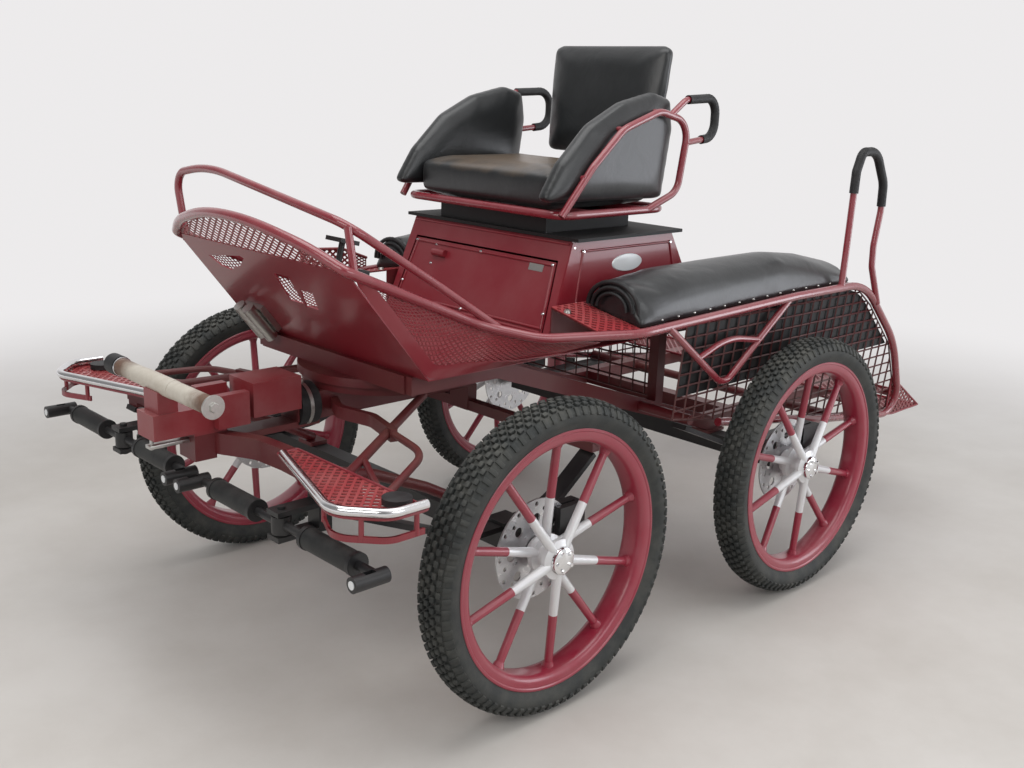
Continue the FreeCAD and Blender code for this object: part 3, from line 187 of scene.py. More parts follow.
def make_leather_grain():
    """Pebbles of grain with slow creases under them."""
    tree, start, end = new_group("leather grain",
                                 (("Size", "Float", 420.0), ("Depth", "Float", 0.25)),
                                 (("Normal", "Vector"), ("Pebble", "Float")))
    place = place_on_piece(tree)
    pebble = add(tree, "TexVoronoi", (("Vector", place), ("Scale", start.outputs["Size"])),
                 feature="DISTANCE_TO_EDGE")
    crease = add(tree, "TexNoise", (("Vector", place), ("Scale", 14.0), ("Detail", 5.0),
                                    ("Distortion", 0.6)))
    small = add(tree, "Bump", (("Strength", start.outputs["Depth"]), ("Distance", 0.0006),
                               ("Height", pebble.outputs["Distance"])))
    large = add(tree, "Bump", (("Strength", 0.35), ("Distance", 0.006),
                               ("Height", crease.outputs["Fac"]), ("Normal", small.outputs[0])))
    connect(tree, large.outputs[0], end.inputs["Normal"])
    connect(tree, pebble.outputs["Distance"], end.inputs["Pebble"])
    return tree


PEEL = make_peel()
LEATHER_GRAIN = make_leather_grain()

# %% [markdown]
# ## The finishes
# Red paint: deep wine red under a clear coat that catches the room's light as pink. Darker copies
# of the red and the black, for the parts under the body and the seat and for the well's lining,
# carry painted shade. Black brackets are satin. The bright parts are polished stainless, brushed
# discs and worn zinc.

# %% Paints
def painted(name, color, gloss, coat, dust, amount, metallic=0.0, peel=0.12):
    """Paint with dust in patches and a little orange peel."""
    material, tree, shader = new_material(name, Metallic=metallic, Coat_Weight=coat,
                                          Coat_Roughness=0.12)
    layer = use_group(tree, DUST, (("Paint", (*color, 1)), ("Dust", (*dust, 1)),
                                   ("Amount", amount), ("Gloss", gloss)))
    skin = use_group(tree, PEEL, (("Depth", peel),))
    surface(tree, shader, *layer.outputs[:2], skin.outputs["Normal"])
    return material


WINE = painted("wine_red_paint", (0.225, 0.013, 0.023), 0.34, 0.45, (0.32, 0.12, 0.12), 0.35)
RAIL_RED = painted("polished_tube_red", (0.235, 0.015, 0.027), 0.26, 0.95, (0.42, 0.22, 0.22), 0.35)
DUSTY_RED = painted("dusty_nose_red", (0.230, 0.022, 0.028), 0.42, 0.2, (0.40, 0.22, 0.21), 0.50)
WHEEL_RED = painted("wheel_red_paint", (0.30, 0.018, 0.042), 0.32, 0.45, (0.42, 0.22, 0.22), 0.35)
# A copy of the wine red at half its brightness for the frames and decks under the body: the
# darkness is painted shade.
SHADED_UNDER_RED = painted("underside_red_painted_shade", (0.110, 0.008, 0.012), 0.45, 0.15,
                    (0.16, 0.085, 0.065), 0.5)
SATIN_BLACK = painted("satin_black_paint", (0.010, 0.010, 0.011), 0.40, 0.0,
                      (0.085, 0.08, 0.075), 0.35)
# A darker, duller copy of the satin black for the box's top plate and pedestal in the seat's shadow
# and for the well's lining: the extra darkness is painted shade.
SHADED_BLACK = painted("black_paint_painted_shade", (0.0045, 0.0045, 0.005), 0.60, 0.0,
                     (0.030, 0.030, 0.030), 0.25)
MESH_RED = painted("expanded_metal_red", (0.205, 0.020, 0.026), 0.42, 0.2, (0.32, 0.16, 0.145), 0.4)
TREAD_RED = painted("tread_red", (0.36, 0.040, 0.046), 0.40, 0.35, (0.42, 0.22, 0.20), 0.4)
WIRE_RED = painted("wire_grid_red", (0.080, 0.012, 0.013), 0.45, 0.2, (0.15, 0.10, 0.085), 0.5)
SPOKE_SILVER = painted("silver_spoke_paint", (0.74, 0.74, 0.75), 0.34, 0.3, (0.55, 0.52, 0.48),
                       0.3, metallic=0.25)
BLANK_SILVER = painted("blank_badge_silver", (0.78, 0.80, 0.81), 0.28, 0.4, (0.7, 0.7, 0.7), 0.2,
                       metallic=0.2)


# %% Worn cross bar
def worn_bar():
    """Paint rubbed through to pale metal in the bar's middle, brown towards its ends."""
    material, tree, shader = new_material("worn_pale_tube")
    place = place_on_piece(tree)
    y = add(tree, "SeparateXYZ", (("Vector", place),)).outputs["Y"]
    stain = noise(tree, place, 26.0, 7.0, 0.65)
    drift = arithmetic(tree, "MULTIPLY_ADD", stain, 0.09, y)
    far_end = spread(tree, drift, -0.100, -0.050)
    near_end = spread(tree, drift, 0.235, 0.180)
    bare = arithmetic(tree, "MULTIPLY", far_end, near_end)
    pale = mix_colors(tree, stain, (0.70, 0.67, 0.60, 1), (0.44, 0.38, 0.30, 1))
    mixed = mix_colors(tree, bare, (0.15, 0.085, 0.055, 1), pale)
    rough = spread(tree, stain, 0.0, 1.0, 0.35, 0.65)
    surface(tree, shader, mixed, rough)
    return material


WORN_PALE = worn_bar()


# %% Bare metals
def metal(name, color, roughness, streaks, scale):
    """Bright metal whose roughness and tone follow long fine streaks."""
    material, tree, shader = new_material(name, Metallic=1.0)
    mapping = add(tree, "Mapping", (("Vector", place_on_piece(tree)), ("Scale", scale)))
    grain = noise(tree, mapping.outputs[0], 1.0, 4.0)
    tone = spread(tree, grain, 0.3, 0.7, roughness - streaks, roughness + streaks)
    darker = [channel * 0.78 for channel in color]
    surface(tree, shader, mix_colors(tree, grain, (*color, 1), (*darker, 1)), tone)
    return material


STAINLESS = metal("polished_stainless", (0.86, 0.86, 0.87), 0.16, 0.07, (30, 30, 30))
CHROME = metal("chrome_cap", (0.90, 0.90, 0.91), 0.08, 0.04, (60, 60, 60))
DISC_STEEL = metal("brushed_disc", (0.66, 0.66, 0.67), 0.34, 0.10, (90, 900, 90))
ZINC = metal("zinc_plated", (0.62, 0.61, 0.58), 0.38, 0.10, (120, 120, 120))


# %% Rubber and tyre
def rubber(name, color, dust, amount, roughness):
    material, tree, shader = new_material(name, Specular_IOR_Level=0.35)
    layer = use_group(tree, DUST, (("Paint", (*color, 1)), ("Dust", (*dust, 1)),
                                   ("Amount", amount), ("Patch Size", 22.0),
                                   ("Gloss", roughness), ("Dull", 0.2)))
    skin = use_group(tree, PEEL, (("Size", 900.0), ("Depth", 0.3)))
    surface(tree, shader, *layer.outputs[:2], skin.outputs["Normal"])
    return material


TYRE_RUBBER = rubber("tyre_rubber", (0.030, 0.033, 0.032), (0.15, 0.145, 0.125), 0.55, 0.62)
BLACK_RUBBER = rubber("black_rubber", (0.014, 0.014, 0.015), (0.10, 0.10, 0.10), 0.4, 0.5)
SLEEVE_RUBBER = rubber("sleeve_rubber", (0.016, 0.017, 0.017), (0.085, 0.085, 0.08), 0.5, 0.5)


# %% Vinyl
def vinyl(name, worn=None):
    """Black upholstery vinyl; worn is (centre, half size) of a rubbed brown patch on top."""
    material, tree, shader = new_material(name, Coat_Weight=0.30, Coat_Roughness=0.26,
                                          Specular_IOR_Level=0.5, Sheen_Weight=0.05)
    layer = use_group(tree, DUST, (("Paint", (0.0085, 0.0100, 0.0110, 1)),
                                   ("Dust", (0.060, 0.063, 0.065, 1)), ("Amount", 0.30),
                                   ("Patch Size", 7.0), ("Gloss", 0.36), ("Dull", 0.2)))
    color = layer.outputs["Color"]
    if worn:
        centre, reach = worn
        place = place_on_piece(tree)
        mapping = add(tree, "Mapping", (("Vector", place), ("Location", centre),
                                        ("Scale", reach)), vector_type="TEXTURE")
        distance = add(tree, "VectorMath", ((0, mapping.outputs[0]),), operation="LENGTH")
        edge = noise(tree, place, 16.0, 6.0)
        rough_edge = arithmetic(tree, "MULTIPLY_ADD", edge, 0.9, distance.outputs["Value"])
        fade = spread(tree, rough_edge, 1.6, 0.95, 0.0, 0.9)
        brown = mix_colors(tree, noise(tree, place, 60.0, 4.0), (0.078, 0.046, 0.022, 1),
                           (0.150, 0.098, 0.052, 1))
        color = mix_colors(tree, fade, color, brown)
    grain = use_group(tree, LEATHER_GRAIN)
    surface(tree, shader, color, layer.outputs["Roughness"], grain.outputs["Normal"])
    return material


VINYL = vinyl("black_vinyl")
print("materials:", len(bpy.data.materials))

# %% [markdown]
# ## The CAD nodes keep their shape and get a finish
# Tubes, plates and axles are right as they come, so they only need the paint of the real piece.
# A table says which finish each one takes; the nodes that are left out are replaced further down.

# %% Finishes of the CAD nodes
FINISHES = (
    # finish, nodes that take it
    (WINE, ("footwell", "locker_box", "locker_door")),
    (RAIL_RED, ("body_rail", "seat_frame", "rear_hoops", "wheel_guards")),
    (DUSTY_RED, ("pole_head",)),
    # the red darkened with painted shade, for the parts under the body
    (SHADED_UNDER_RED, ("chassis_frame", "fore_frame", "turntable_upper", "pad_decks")),
    (SATIN_BLACK, ("front_axle", "rear_axle", "front_calipers", "rear_calipers", "front_springs",
                   "rear_springs", "swing_brackets", "brake_pedals")),
    # the black darkened with painted shade, for the plates in the seat's shadow
    (SHADED_BLACK, ("locker_top_plate", "seat_pedestal")),
    (BLACK_RUBBER, ("bump_rubbers", "beam_sleeve")),
    (STAINLESS, ("tread_edges",)),
    (ZINC, ("brake_cylinders",)),
    (WORN_PALE, ("pole_pin",)),
)


def finish_node(name, material):
    """Give a CAD node one finish on all its faces."""
    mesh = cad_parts[name].data
    mesh.materials.clear()
    mesh.materials.append(material)


for material, names in FINISHES:
    for name in names:
        finish_node(name, material)
for name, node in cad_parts.items():
    if name.startswith("brake_disc"):
        finish_node(name, DISC_STEEL)
print("finished nodes:", sum(len(names) for _, names in FINISHES) + 4)

# %% [markdown]
# ## Tools for new pieces
# A new piece is built in a bmesh and handed to `piece`, which makes the object, shades it smooth
# below a chosen angle, gives it its finishes and lets it ride on a body.

# %% Making a piece
def piece(name, bm, body, finishes, replaces=(), smooth=35):
    """Turn a bmesh into a finished object that rides on a CAD body."""
    mesh = bpy.data.meshes.new(name)
    bm.to_mesh(mesh)
    bm.free()
    made = bpy.data.objects.new(name, mesh)
    bpy.context.scene.collection.objects.link(made)
    for finish in finishes:
        mesh.materials.append(finish)
    mesh.shade_smooth()
    mesh.set_sharp_from_angle(angle=math.radians(smooth))
    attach(made, body)
    if replaces:
        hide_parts(*replaces)
    print(name, "has", len(mesh.polygons), "faces")
    return made


def paint_faces(faces, index):
    for face in faces:
        face.material_index = index


def block(bm, size, centre, turn=None, round_by=0.0, index=0):
    """A box of that size, with its edges rounded if asked."""
    place = Matrix.Translation(centre) @ (turn or Matrix.Identity(4))
    cube = bmesh.ops.create_cube(bm, size=1.0, matrix=place @ Matrix.Diagonal((*size, 1)))
    corners = cube["verts"]
    if round_by:
        edges = list({e for v in corners for e in v.link_edges})
        rounded = bmesh.ops.bevel(bm, geom=edges, offset=round_by, segments=2, profile=0.5,
                                  affect="EDGES", material=-1)
        corners = rounded["verts"]
    for face in {f for v in corners for f in v.link_faces}:
        face.material_index = index


def rod(bm, start, end, radius, tip=None, sides=16, index=0, caps=True):
    """A round bar from start to end; tip is its radius at the end if it tapers."""
    start, end = Vector(start), Vector(end)
    way = end - start
    turn = Vector((0, 0, 1)).rotation_difference(way).to_matrix().to_4x4()
    place = Matrix.Translation((start + end) / 2) @ turn
    made = bmesh.ops.create_cone(bm, cap_ends=caps, segments=sides, radius1=radius,
                                 radius2=radius if tip is None else tip, depth=way.length,
                                 matrix=place)
    for face in {f for v in made["verts"] for f in v.link_faces}:
        face.material_index = index


def turned(bm, profile, axis_point, axis, side, steps=64, closed=False, index=0):
    """Spin a profile of (along the axis, radius) once round the axis."""
    axis = Vector(axis)
    out = side.normalized()
    points = [Vector(axis_point) + axis * a + out * r for a, r in profile]
    verts = [bm.verts.new(p) for p in points]
    pairs = list(zip(verts, verts[1:])) + ([(verts[-1], verts[0])] if closed else [])
    edges = [bm.edges.new(pair) for pair in pairs]
    before = set(bm.faces)
    bmesh.ops.spin(bm, geom=verts + edges, cent=axis_point, axis=axis, dvec=(0, 0, 0),
                   angle=math.tau, steps=steps, use_merge=True, use_duplicate=False)
    made = [f for f in bm.faces if f not in before]
    bmesh.ops.remove_doubles(bm, verts=list({v for f in made for v in f.verts}), dist=1e-6)
    made = [f for f in bm.faces if f not in before]
    bmesh.ops.recalc_face_normals(bm, faces=made)
    paint_faces(made, index)
    return made


# %% [markdown]
# ## Wheels
# The wheel is painted steel: a wide rim with rolled lips, ten tubular spokes whose inner part is
# silver, and a turned hub with a bright cap. The rim and hub are spun profiles, because a lathe is
# how their section is defined. The spokes lean to two flanges in turn, as in the CAD, and each is
# two cones so that the change of colour is a clean line.

# %% One wheel
RIM_PROFILE = (
    # outboard from the wheel's middle, radius; once round the section
    (0.0305, 0.2835), (0.0330, 0.2842), (0.0342, 0.2825), (0.0342, 0.2790), (0.0322, 0.2765),
    (0.0322, 0.2665), (0.0300, 0.2600), (0.0240, 0.2545), (0.0150, 0.2525), (-0.0150, 0.2525),
    (-0.0240, 0.2545), (-0.0300, 0.2600), (-0.0322, 0.2665), (-0.0322, 0.2765),
    (-0.0342, 0.2790), (-0.0342, 0.2825), (-0.0330, 0.2842), (-0.0305, 0.2835),
    (-0.0290, 0.2690), (0.0290, 0.2690),
)
HUB_PROFILE = (
    (-0.050, 0.013), (-0.050, 0.029), (-0.034, 0.030), (-0.030, 0.044), (-0.018, 0.044),
    (-0.014, 0.031), (0.006, 0.031), (0.010, 0.044), (0.020, 0.044), (0.023, 0.036),
    (0.026, 0.030),
)
CAP_PROFILE = (
    (0.024, 0.0305), (0.030, 0.0305), (0.034, 0.0290), (0.0365, 0.0250), (0.0370, 0.0),
)
SPOKES, CAP_NUTS = 10, 5
SILVER_SHARE = 0.45
SPOKE_ROOT, SPOKE_TIP = 0.030, 0.2535
FLANGES = (-0.024, 0.016)


def wheel_parts(bm, centre, side):
    """Rim, spokes, hub, cap and nuts of one wheel; finishes 0 red, 1 silver, 2 chrome."""
    axle = Vector((0, side, 0))
    up = Vector((0, 0, 1))
    turned(bm, RIM_PROFILE, centre, axle, up, steps=120, closed=True, index=0)
    turned(bm, HUB_PROFILE, centre, axle, up, steps=48, index=1)
    turned(bm, CAP_PROFILE, centre, axle, up, steps=48, index=2)
    for number in range(SPOKES):
        spin = Matrix.Rotation(math.tau * number / SPOKES * side, 3, "Y")
        radial = spin @ up
        foot = centre + axle * FLANGES[number % 2] + radial * SPOKE_ROOT
        tip = centre + radial * SPOKE_TIP
        middle = foot.lerp(tip, SILVER_SHARE)
        rod(bm, foot, middle, 0.0112, 0.0098, 20, index=1)
        rod(bm, middle - (tip - foot) * 0.004, tip, 0.0099, 0.0090, 20, index=0)
        rod(bm, tip - (tip - foot).normalized() * 0.012, tip, 0.0100, 0.0140, 20, index=0)
    for number in range(CAP_NUTS):
        radial = Matrix.Rotation(math.tau * (number + 0.3) / CAP_NUTS, 3, "Y") @ up
        spot = centre + axle * 0.033 + radial * 0.021
        rod(bm, spot, spot + axle * 0.008, 0.0042, sides=6, index=2)
    return bm


# %% Wheels on their bodies
WHEELS = ("front_left", "front_right", "rear_left", "rear_right")


def wheel_place(name):
    """The wheel's centre and the side it stands on."""
    low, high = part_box(f"tyre_{name}")
    centre = (low + high) / 2
    return centre, LEFT if centre.y > 0 else RIGHT


for name in WHEELS:
    bm = wheel_parts(bmesh.new(), *wheel_place(name))
    piece(f"spoked_{name}", bm, f"wheel_{name}",
          (WHEEL_RED, SPOKE_SILVER, CHROME), (f"wheel_{name}",))

# %% [markdown]
# ## Knobbly tyres
# The tyre is a balloon carcass with rows of rubber blocks and long lugs down the shoulder. One
# pitch of the tread is modelled and then spun round the axle as copies, which is how a mould
# repeats it. The carcass is a spun profile just under the blocks.

# %% One tyre
CARCASS_PROFILE = (
    (-0.0300, 0.2700), (-0.0315, 0.2830), (-0.0350, 0.2900), (-0.0405, 0.3000),
    (-0.0428, 0.3110), (-0.0410, 0.3215), (-0.0340, 0.3300), (-0.0200, 0.3345),
    (0.0, 0.3355), (0.0200, 0.3345), (0.0340, 0.3300), (0.0410, 0.3215), (0.0428, 0.3110),
    (0.0405, 0.3000), (0.0350, 0.2900), (0.0315, 0.2830), (0.0300, 0.2700),
)
PITCHES = 92
TREAD_BLOCKS = (
    # outboard, radius at its middle, tilt in degrees, width, height, length, share of a pitch on
    (0.0000, 0.3385, 0, 0.0110, 0.0090, 0.0120, 0.0),
    (0.0145, 0.3378, 6, 0.0100, 0.0085, 0.0125, 0.5),
    (-0.0145, 0.3378, -6, 0.0100, 0.0085, 0.0125, 0.5),
    (0.0270, 0.3345, 20, 0.0095, 0.0085, 0.0120, 0.0),
    (-0.0270, 0.3345, -20, 0.0095, 0.0085, 0.0120, 0.0),
    (0.0385, 0.3235, 58, 0.0190, 0.0065, 0.0105, 0.5),
    (-0.0385, 0.3235, -58, 0.0190, 0.0065, 0.0105, 0.5),
)


def tyre_parts(bm, centre, side):
    """Carcass and tread blocks of one tyre."""
    axle = Vector((0, side, 0))
    turned(bm, CARCASS_PROFILE, centre, axle, Vector((0, 0, 1)), steps=96)
    start = set(bm.verts)
    for out, radius, tilt, width, height, length, shift in TREAD_BLOCKS:
        turn = Matrix.Rotation(math.radians(-tilt * side), 4, "X")
        along = Matrix.Rotation(math.tau * shift / PITCHES, 4, "Y")
        spot = centre + (along @ Vector((0, out * side, radius)))
        block(bm, (length, width, height), spot, along @ turn, round_by=0.0012)
    cell = [v for v in bm.verts if v not in start]
    faces = list({f for v in cell for f in v.link_faces})
    edges = list({e for v in cell for e in v.link_edges})
    bmesh.ops.spin(bm, geom=cell + edges + faces, cent=centre, axis=axle, dvec=(0, 0, 0),
                   angle=math.tau * (PITCHES - 1) / PITCHES, steps=PITCHES - 1,
                   use_merge=False, use_duplicate=True)
    return bm


for name in WHEELS:
    bm = tyre_parts(bmesh.new(), *wheel_place(name))
    piece(f"tread_{name}", bm, f"wheel_{name}", (TYRE_RUBBER,),
          (f"tyre_{name}",), smooth=40)

# %% [markdown]
# ## Expanded metal and wire grids
# The dash bow, the footwell's sides, the guard and the treads are sheet steel, slit and pulled so
# that it opens into diamonds. A diamond sheet is a square grid turned by 45 degrees and stretched,
# cut to the panel's outline, with each cell set in by half a strand and its middle taken out.
# The flat sheet is then laid on the panel's own surface, which is ruled between two edge lines.

# %% A flat sheet of diamonds
def diamond_sheet(outline, cell, strand, thick):
    """Expanded metal in the XY plane inside a convex outline that runs anticlockwise."""
    bm = bmesh.new()
    xs, ys = [p[0] for p in outline], [p[1] for p in outline]
    centre = Vector(((min(xs) + max(xs)) / 2, (min(ys) + max(ys)) / 2, 0))
    count = math.ceil((max(xs) - min(xs)) / cell[0] + (max(ys) - min(ys)) / cell[1]) + 2
    scale = Matrix.Diagonal((cell[0] / math.sqrt(2), cell[1] / math.sqrt(2), 1, 1))
    bmesh.ops.create_grid(bm, x_segments=count, y_segments=count, size=count / 2,
                          matrix=Matrix.Translation(centre) @ scale
                          @ Matrix.Rotation(math.pi / 4, 4, "Z"))
    clip_to(bm, outline)
    full = cell[0] * cell[1] / 2
    holes = [f for f in bm.faces if f.calc_area() > 0.4 * full]
    bmesh.ops.inset_individual(bm, faces=holes, thickness=strand / 2, use_even_offset=True)
    bmesh.ops.delete(bm, geom=holes, context="FACES")
    bmesh.ops.solidify(bm, geom=bm.faces[:], thickness=thick)
    bmesh.ops.recalc_face_normals(bm, faces=bm.faces[:])
    return bm


def clip_to(bm, outline):
    """Cut away what lies outside a convex outline that runs anticlockwise."""
    for (x0, y0), (x1, y1) in zip(outline, [*outline[1:], outline[0]]):
        away = Vector((y1 - y0, x0 - x1, 0))
        bmesh.ops.bisect_plane(bm, geom=bm.verts[:] + bm.edges[:] + bm.faces[:], dist=1e-7,
                               plane_co=(x0, y0, 0), plane_no=away, clear_outer=True)


def plain_sheet(outline, thick):
    """A flat sheet in the XY plane inside a convex outline that runs anticlockwise."""
    bm = bmesh.new()
    bmesh.ops.create_grid(bm, x_segments=24, y_segments=12, size=3)
    clip_to(bm, outline)
    bmesh.ops.solidify(bm, geom=bm.faces[:], thickness=thick)
    bmesh.ops.recalc_face_normals(bm, faces=bm.faces[:])
    return bm


def wire_grid(outline, cell, wire):
    """A grid of square wires in the XY plane inside a convex outline."""
    bm = bmesh.new()
    xs, ys = [p[0] for p in outline], [p[1] for p in outline]
    wide = math.ceil((max(xs) - min(xs)) / cell[0])
    high = math.ceil((max(ys) - min(ys)) / cell[1])
    corner = Vector((min(xs) + wide * cell[0] / 2, min(ys) + high * cell[1] / 2, 0))
    bmesh.ops.create_grid(bm, x_segments=wide, y_segments=high, size=0.5,
                          matrix=Matrix.Translation(corner)
                          @ Matrix.Diagonal((wide * cell[0], high * cell[1], 1, 1)))
    clip_to(bm, outline)
    bmesh.ops.wireframe(bm, faces=bm.faces[:], thickness=wire, use_replace=True,
                        use_boundary=True, use_even_offset=True)
    return bm


# %% Laying a flat sheet on a panel
def on_line(stations, share):
    """The point a share of the way along a line of points, by the stations' own spacing."""
    reach = share * (len(stations) - 1)
    number = min(int(reach), len(stations) - 2)
    return Vector(stations[number]).lerp(Vector(stations[number + 1]), reach - number)


def evened(stations, count=24):
    """The same line as evenly spaced points."""
    points = [Vector(p) for p in stations]
    lengths = [0.0]
    for a, b in zip(points, points[1:]):
        lengths.append(lengths[-1] + (b - a).length)
    line = []
    for step in range(count + 1):
        want = lengths[-1] * step / count
        number = max(i for i, so_far in enumerate(lengths[:-1]) if so_far <= want + 1e-9)
        share = (want - lengths[number]) / (lengths[number + 1] - lengths[number])
        line.append(points[number].lerp(points[number + 1], share))
    return line


def lay(bm, width, height, low, high):
    """Move a flat sheet of that size on to the surface ruled between the lines low and high."""
    low, high = evened(low), evened(high)
    for vert in bm.verts:
        u = min(1, max(0, vert.co.x / width))
        v = vert.co.y / height
        bottom, top = on_line(low, u), on_line(high, u)
        ahead = on_line(low, min(1, u + 0.01)) - on_line(low, max(0, u - 0.01))
        normal = ahead.cross(top - bottom).normalized()
        vert.co = bottom.lerp(top, v) + normal * vert.co.z


def mirrored(bm):
    """Add the same piece on the carriage's other side."""
    copied = bmesh.ops.duplicate(bm, geom=bm.verts[:] + bm.edges[:] + bm.faces[:])
    verts = [v for v in copied["geom"] if isinstance(v, bmesh.types.BMVert)]
    faces = [f for f in copied["geom"] if isinstance(f, bmesh.types.BMFace)]
    for vert in verts:
        vert.co.y = -vert.co.y
    bmesh.ops.reverse_faces(bm, faces=faces)


def cord_along(bm, points, radius, index=1, closed=True, sides=8):
    """A round cord through the points, as short rods that overlap at their ends."""
    points = [Vector(p) for p in points]
    follow = [*points[1:], points[0]] if closed else points[1:]
    for a, b in zip(points, follow):
        if (b - a).length > 1e-5:
            rod(bm, a - (b - a).normalized() * radius * 0.4, b, radius, sides=sides, index=index,
                caps=False)


def rectangle(width, height):
    return [(0, 0), (width, 0), (width, height), (0, height)]


def merge(bm, other):
    """Add all of other's mesh to bm."""
    mesh = bpy.data.meshes.new("merged")
    other.to_mesh(mesh)
    other.free()
    bm.from_mesh(mesh)
    bpy.data.meshes.remove(mesh)


# %% Rounded outlines
def corner_arc(before, here, after, bend, steps):
    """Points of the arc that rounds the corner at here."""
    back, onward = (before - here).normalized(), (after - here).normalized()
    half = back.angle(onward) / 2
    middle = here + (back + onward).normalized() * (bend / math.sin(half))
    reach = bend / math.tan(half)
    start, end = here + back * reach - middle, here + onward * reach - middle
    return [middle + start.slerp(end, step / steps) * bend for step in range(steps + 1)]


def softened(corners, bends, steps=6):
    """The same flat closed outline with each corner turned into an arc of its own radius."""
    spots = [Vector((*corner, 0)) for corner in corners]
    points = []
    for number, (here, bend) in enumerate(zip(spots, bends)):
        points += corner_arc(spots[number - 1], here, spots[(number + 1) % len(spots)], bend, steps)
    return points


def bent_line(corners, bends, steps=8):
    """An open line in space whose inner corners are arcs, as a bent tube's centre line."""
    spots = [Vector(corner) for corner in corners]
    line = [spots[0]]
    for before, here, after, bend in zip(spots, spots[1:], spots[2:], bends):
        line += corner_arc(before, here, after, bend, steps)
    return [*line, spots[-1]]


# %% [markdown]
# ## The panels
# The footwell's side sheets flare out from the floor to the body rail, the guard stands on the
# right rail, and the dash mesh fills the bow over the footboard. Each is a sheet of the cell and
# strand that the real panel has, laid between its two edges.

# %% Footwell sides and right guard
SIDE_LOW = ((0.900, 0.3335, 0.9130), (0.728, 0.3440, 0.7000), (0.606, 0.3440, 0.6980),
            (0.497, 0.3440, 0.6980), (0.357, 0.3440, 0.6980))
SIDE_HIGH = ((0.905, 0.3370, 0.9200), (0.728, 0.3560, 0.8440), (0.606, 0.3680, 0.7900),
             (0.497, 0.4400, 0.7600), (0.357, 0.4850, 0.7510))
SIDE_SIZE = (0.62, 0.10)
SIDE_CELL, SIDE_STRAND = (0.0175, 0.0088), 0.0026
SILL_HEIGHT = 0.030


def footwell_sides():
    """A diamond sheet in each flared side, with a plain sill strip along its lower edge."""
    width, height = SIDE_SIZE
    bm = diamond_sheet(rectangle(width, height), SIDE_CELL, SIDE_STRAND, 0.0016)
    lay(bm, width, height, SIDE_LOW, SIDE_HIGH)
    sill = bmesh.new()
    bmesh.ops.create_grid(sill, x_segments=40, y_segments=2, size=0.5,
                          matrix=Matrix.Translation((0.5, 0.5, 0)))
    low, high = evened(SIDE_LOW), evened(SIDE_HIGH)
    for vert in sill.verts:
        bottom, top = on_line(low, vert.co.x), on_line(high, vert.co.x)
        up = (top - bottom).normalized()
        vert.co = bottom + up * SILL_HEIGHT * vert.co.y + Vector((0, 0.0022, -0.003))
    bmesh.ops.solidify(sill, geom=sill.faces[:], thickness=0.0015)
    bmesh.ops.recalc_face_normals(sill, faces=sill.faces[:])
    paint_faces(sill.faces, 1)
    merge(bm, sill)
    mirrored(bm)
    return bm


GUARD_LOW = ((0.540, -0.4110, 0.7890), (0.497, -0.4410, 0.7780), (0.361, -0.4840, 0.7750),
             (0.254, -0.5160, 0.7740))
GUARD_HIGH = ((0.540, -0.4110, 0.8540), (0.497, -0.4410, 0.8510), (0.361, -0.4840, 0.8370),
              (0.254, -0.5160, 0.7990))
GUARD_SIZE, GUARD_ROD = (0.30, 0.065), 0.0042


def right_guard():
    """Coarse diamonds between two lines, edged with a thin rod."""
    width, height = GUARD_SIZE
    bm = diamond_sheet(rectangle(width, height), (0.026, 0.017), 0.0055, 0.0020)
    lay(bm, width, height, GUARD_LOW, GUARD_HIGH)
    top = evened(GUARD_HIGH, 12)
    for a, b in zip(top, top[1:]):
        rod(bm, a, b, GUARD_ROD, sides=12)
    rod(bm, GUARD_LOW[0], GUARD_HIGH[0], GUARD_ROD, sides=12)
    return bm


piece("footwell_side_mesh", footwell_sides(), "carriage_body", (MESH_RED, WINE),
      ("footwell_sides",))
piece("right_guard_mesh", right_guard(), "carriage_body", (MESH_RED,),
      ("right_side_guard",))


# %% Dash mesh
def board_frame():
    """Bottom middle of the footboard, its direction up, its length and the way out of it."""
    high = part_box("footwell")[1]
    foot = Vector((0.728, 0, 0.692))
    top = Vector((high.x, 0, high.z))
    way = (top - foot).normalized()
    return foot, way, (top - foot).length, way.cross(Vector((0, 1, 0))).normalized()


FOOT, UP_BOARD, BOARD_LENGTH, OUT_OF_BOARD = board_frame()
BOW_HALF, BOW_RISE, BOW_STEPS = 0.322, 0.088, 16
DASH_CELL = (0.0260, 0.0175)


def dash_mesh():
    """Diamonds under an arc; the sheet lies in the footboard's plane."""
    radius = (BOW_HALF ** 2 + BOW_RISE ** 2) / (2 * BOW_RISE)
    half_angle = math.asin(BOW_HALF / radius)
    arc = []
    for step in range(BOW_STEPS + 1):
        angle = half_angle - 2 * half_angle * step / BOW_STEPS
        arc.append((radius * math.sin(angle), radius * math.cos(angle) - radius + BOW_RISE))
    bm = diamond_sheet([(-BOW_HALF, -0.004), (BOW_HALF, -0.004), *arc], DASH_CELL, 0.0040, 0.0018)
    base = FOOT + UP_BOARD * (BOARD_LENGTH + 0.001)
    for vert in bm.verts:
        x, y, z = vert.co
        vert.co = base + Vector((0, -x, 0)) + UP_BOARD * y + OUT_OF_BOARD * (z + 0.0015)
    bmesh.ops.recalc_face_normals(bm, faces=bm.faces[:])
    return bm


piece("dash_bow_mesh", dash_mesh(), "carriage_body", (MESH_RED,), ("dash_mesh",))

# %% [markdown]
# ## The groom's basket
# Welded wire grid closes the sides of the well behind the seat. The side grids lean with the
# rails, so each is laid out flat, cut to the rail's outline and then tipped into its plane.

# %% Basket
BASKET_RIM = (
    # behind the rear axle, z; anticlockwise from the front top corner, seen from the left
    (-0.425, 0.520), (0.218, 0.412), (0.600, 0.354), (0.672, 0.354), (0.680, 0.430),
    (0.597, 0.572), (0.432, 0.712), (0.335, 0.772), (-0.227, 0.771), (-0.425, 0.760),
)
BASKET_LEAN = 0.1047
GRID_CELL, GRID_WIRE = (0.042, 0.031), 0.0055
REAR_AXLE_X = wheel_place("rear_left")[0].x


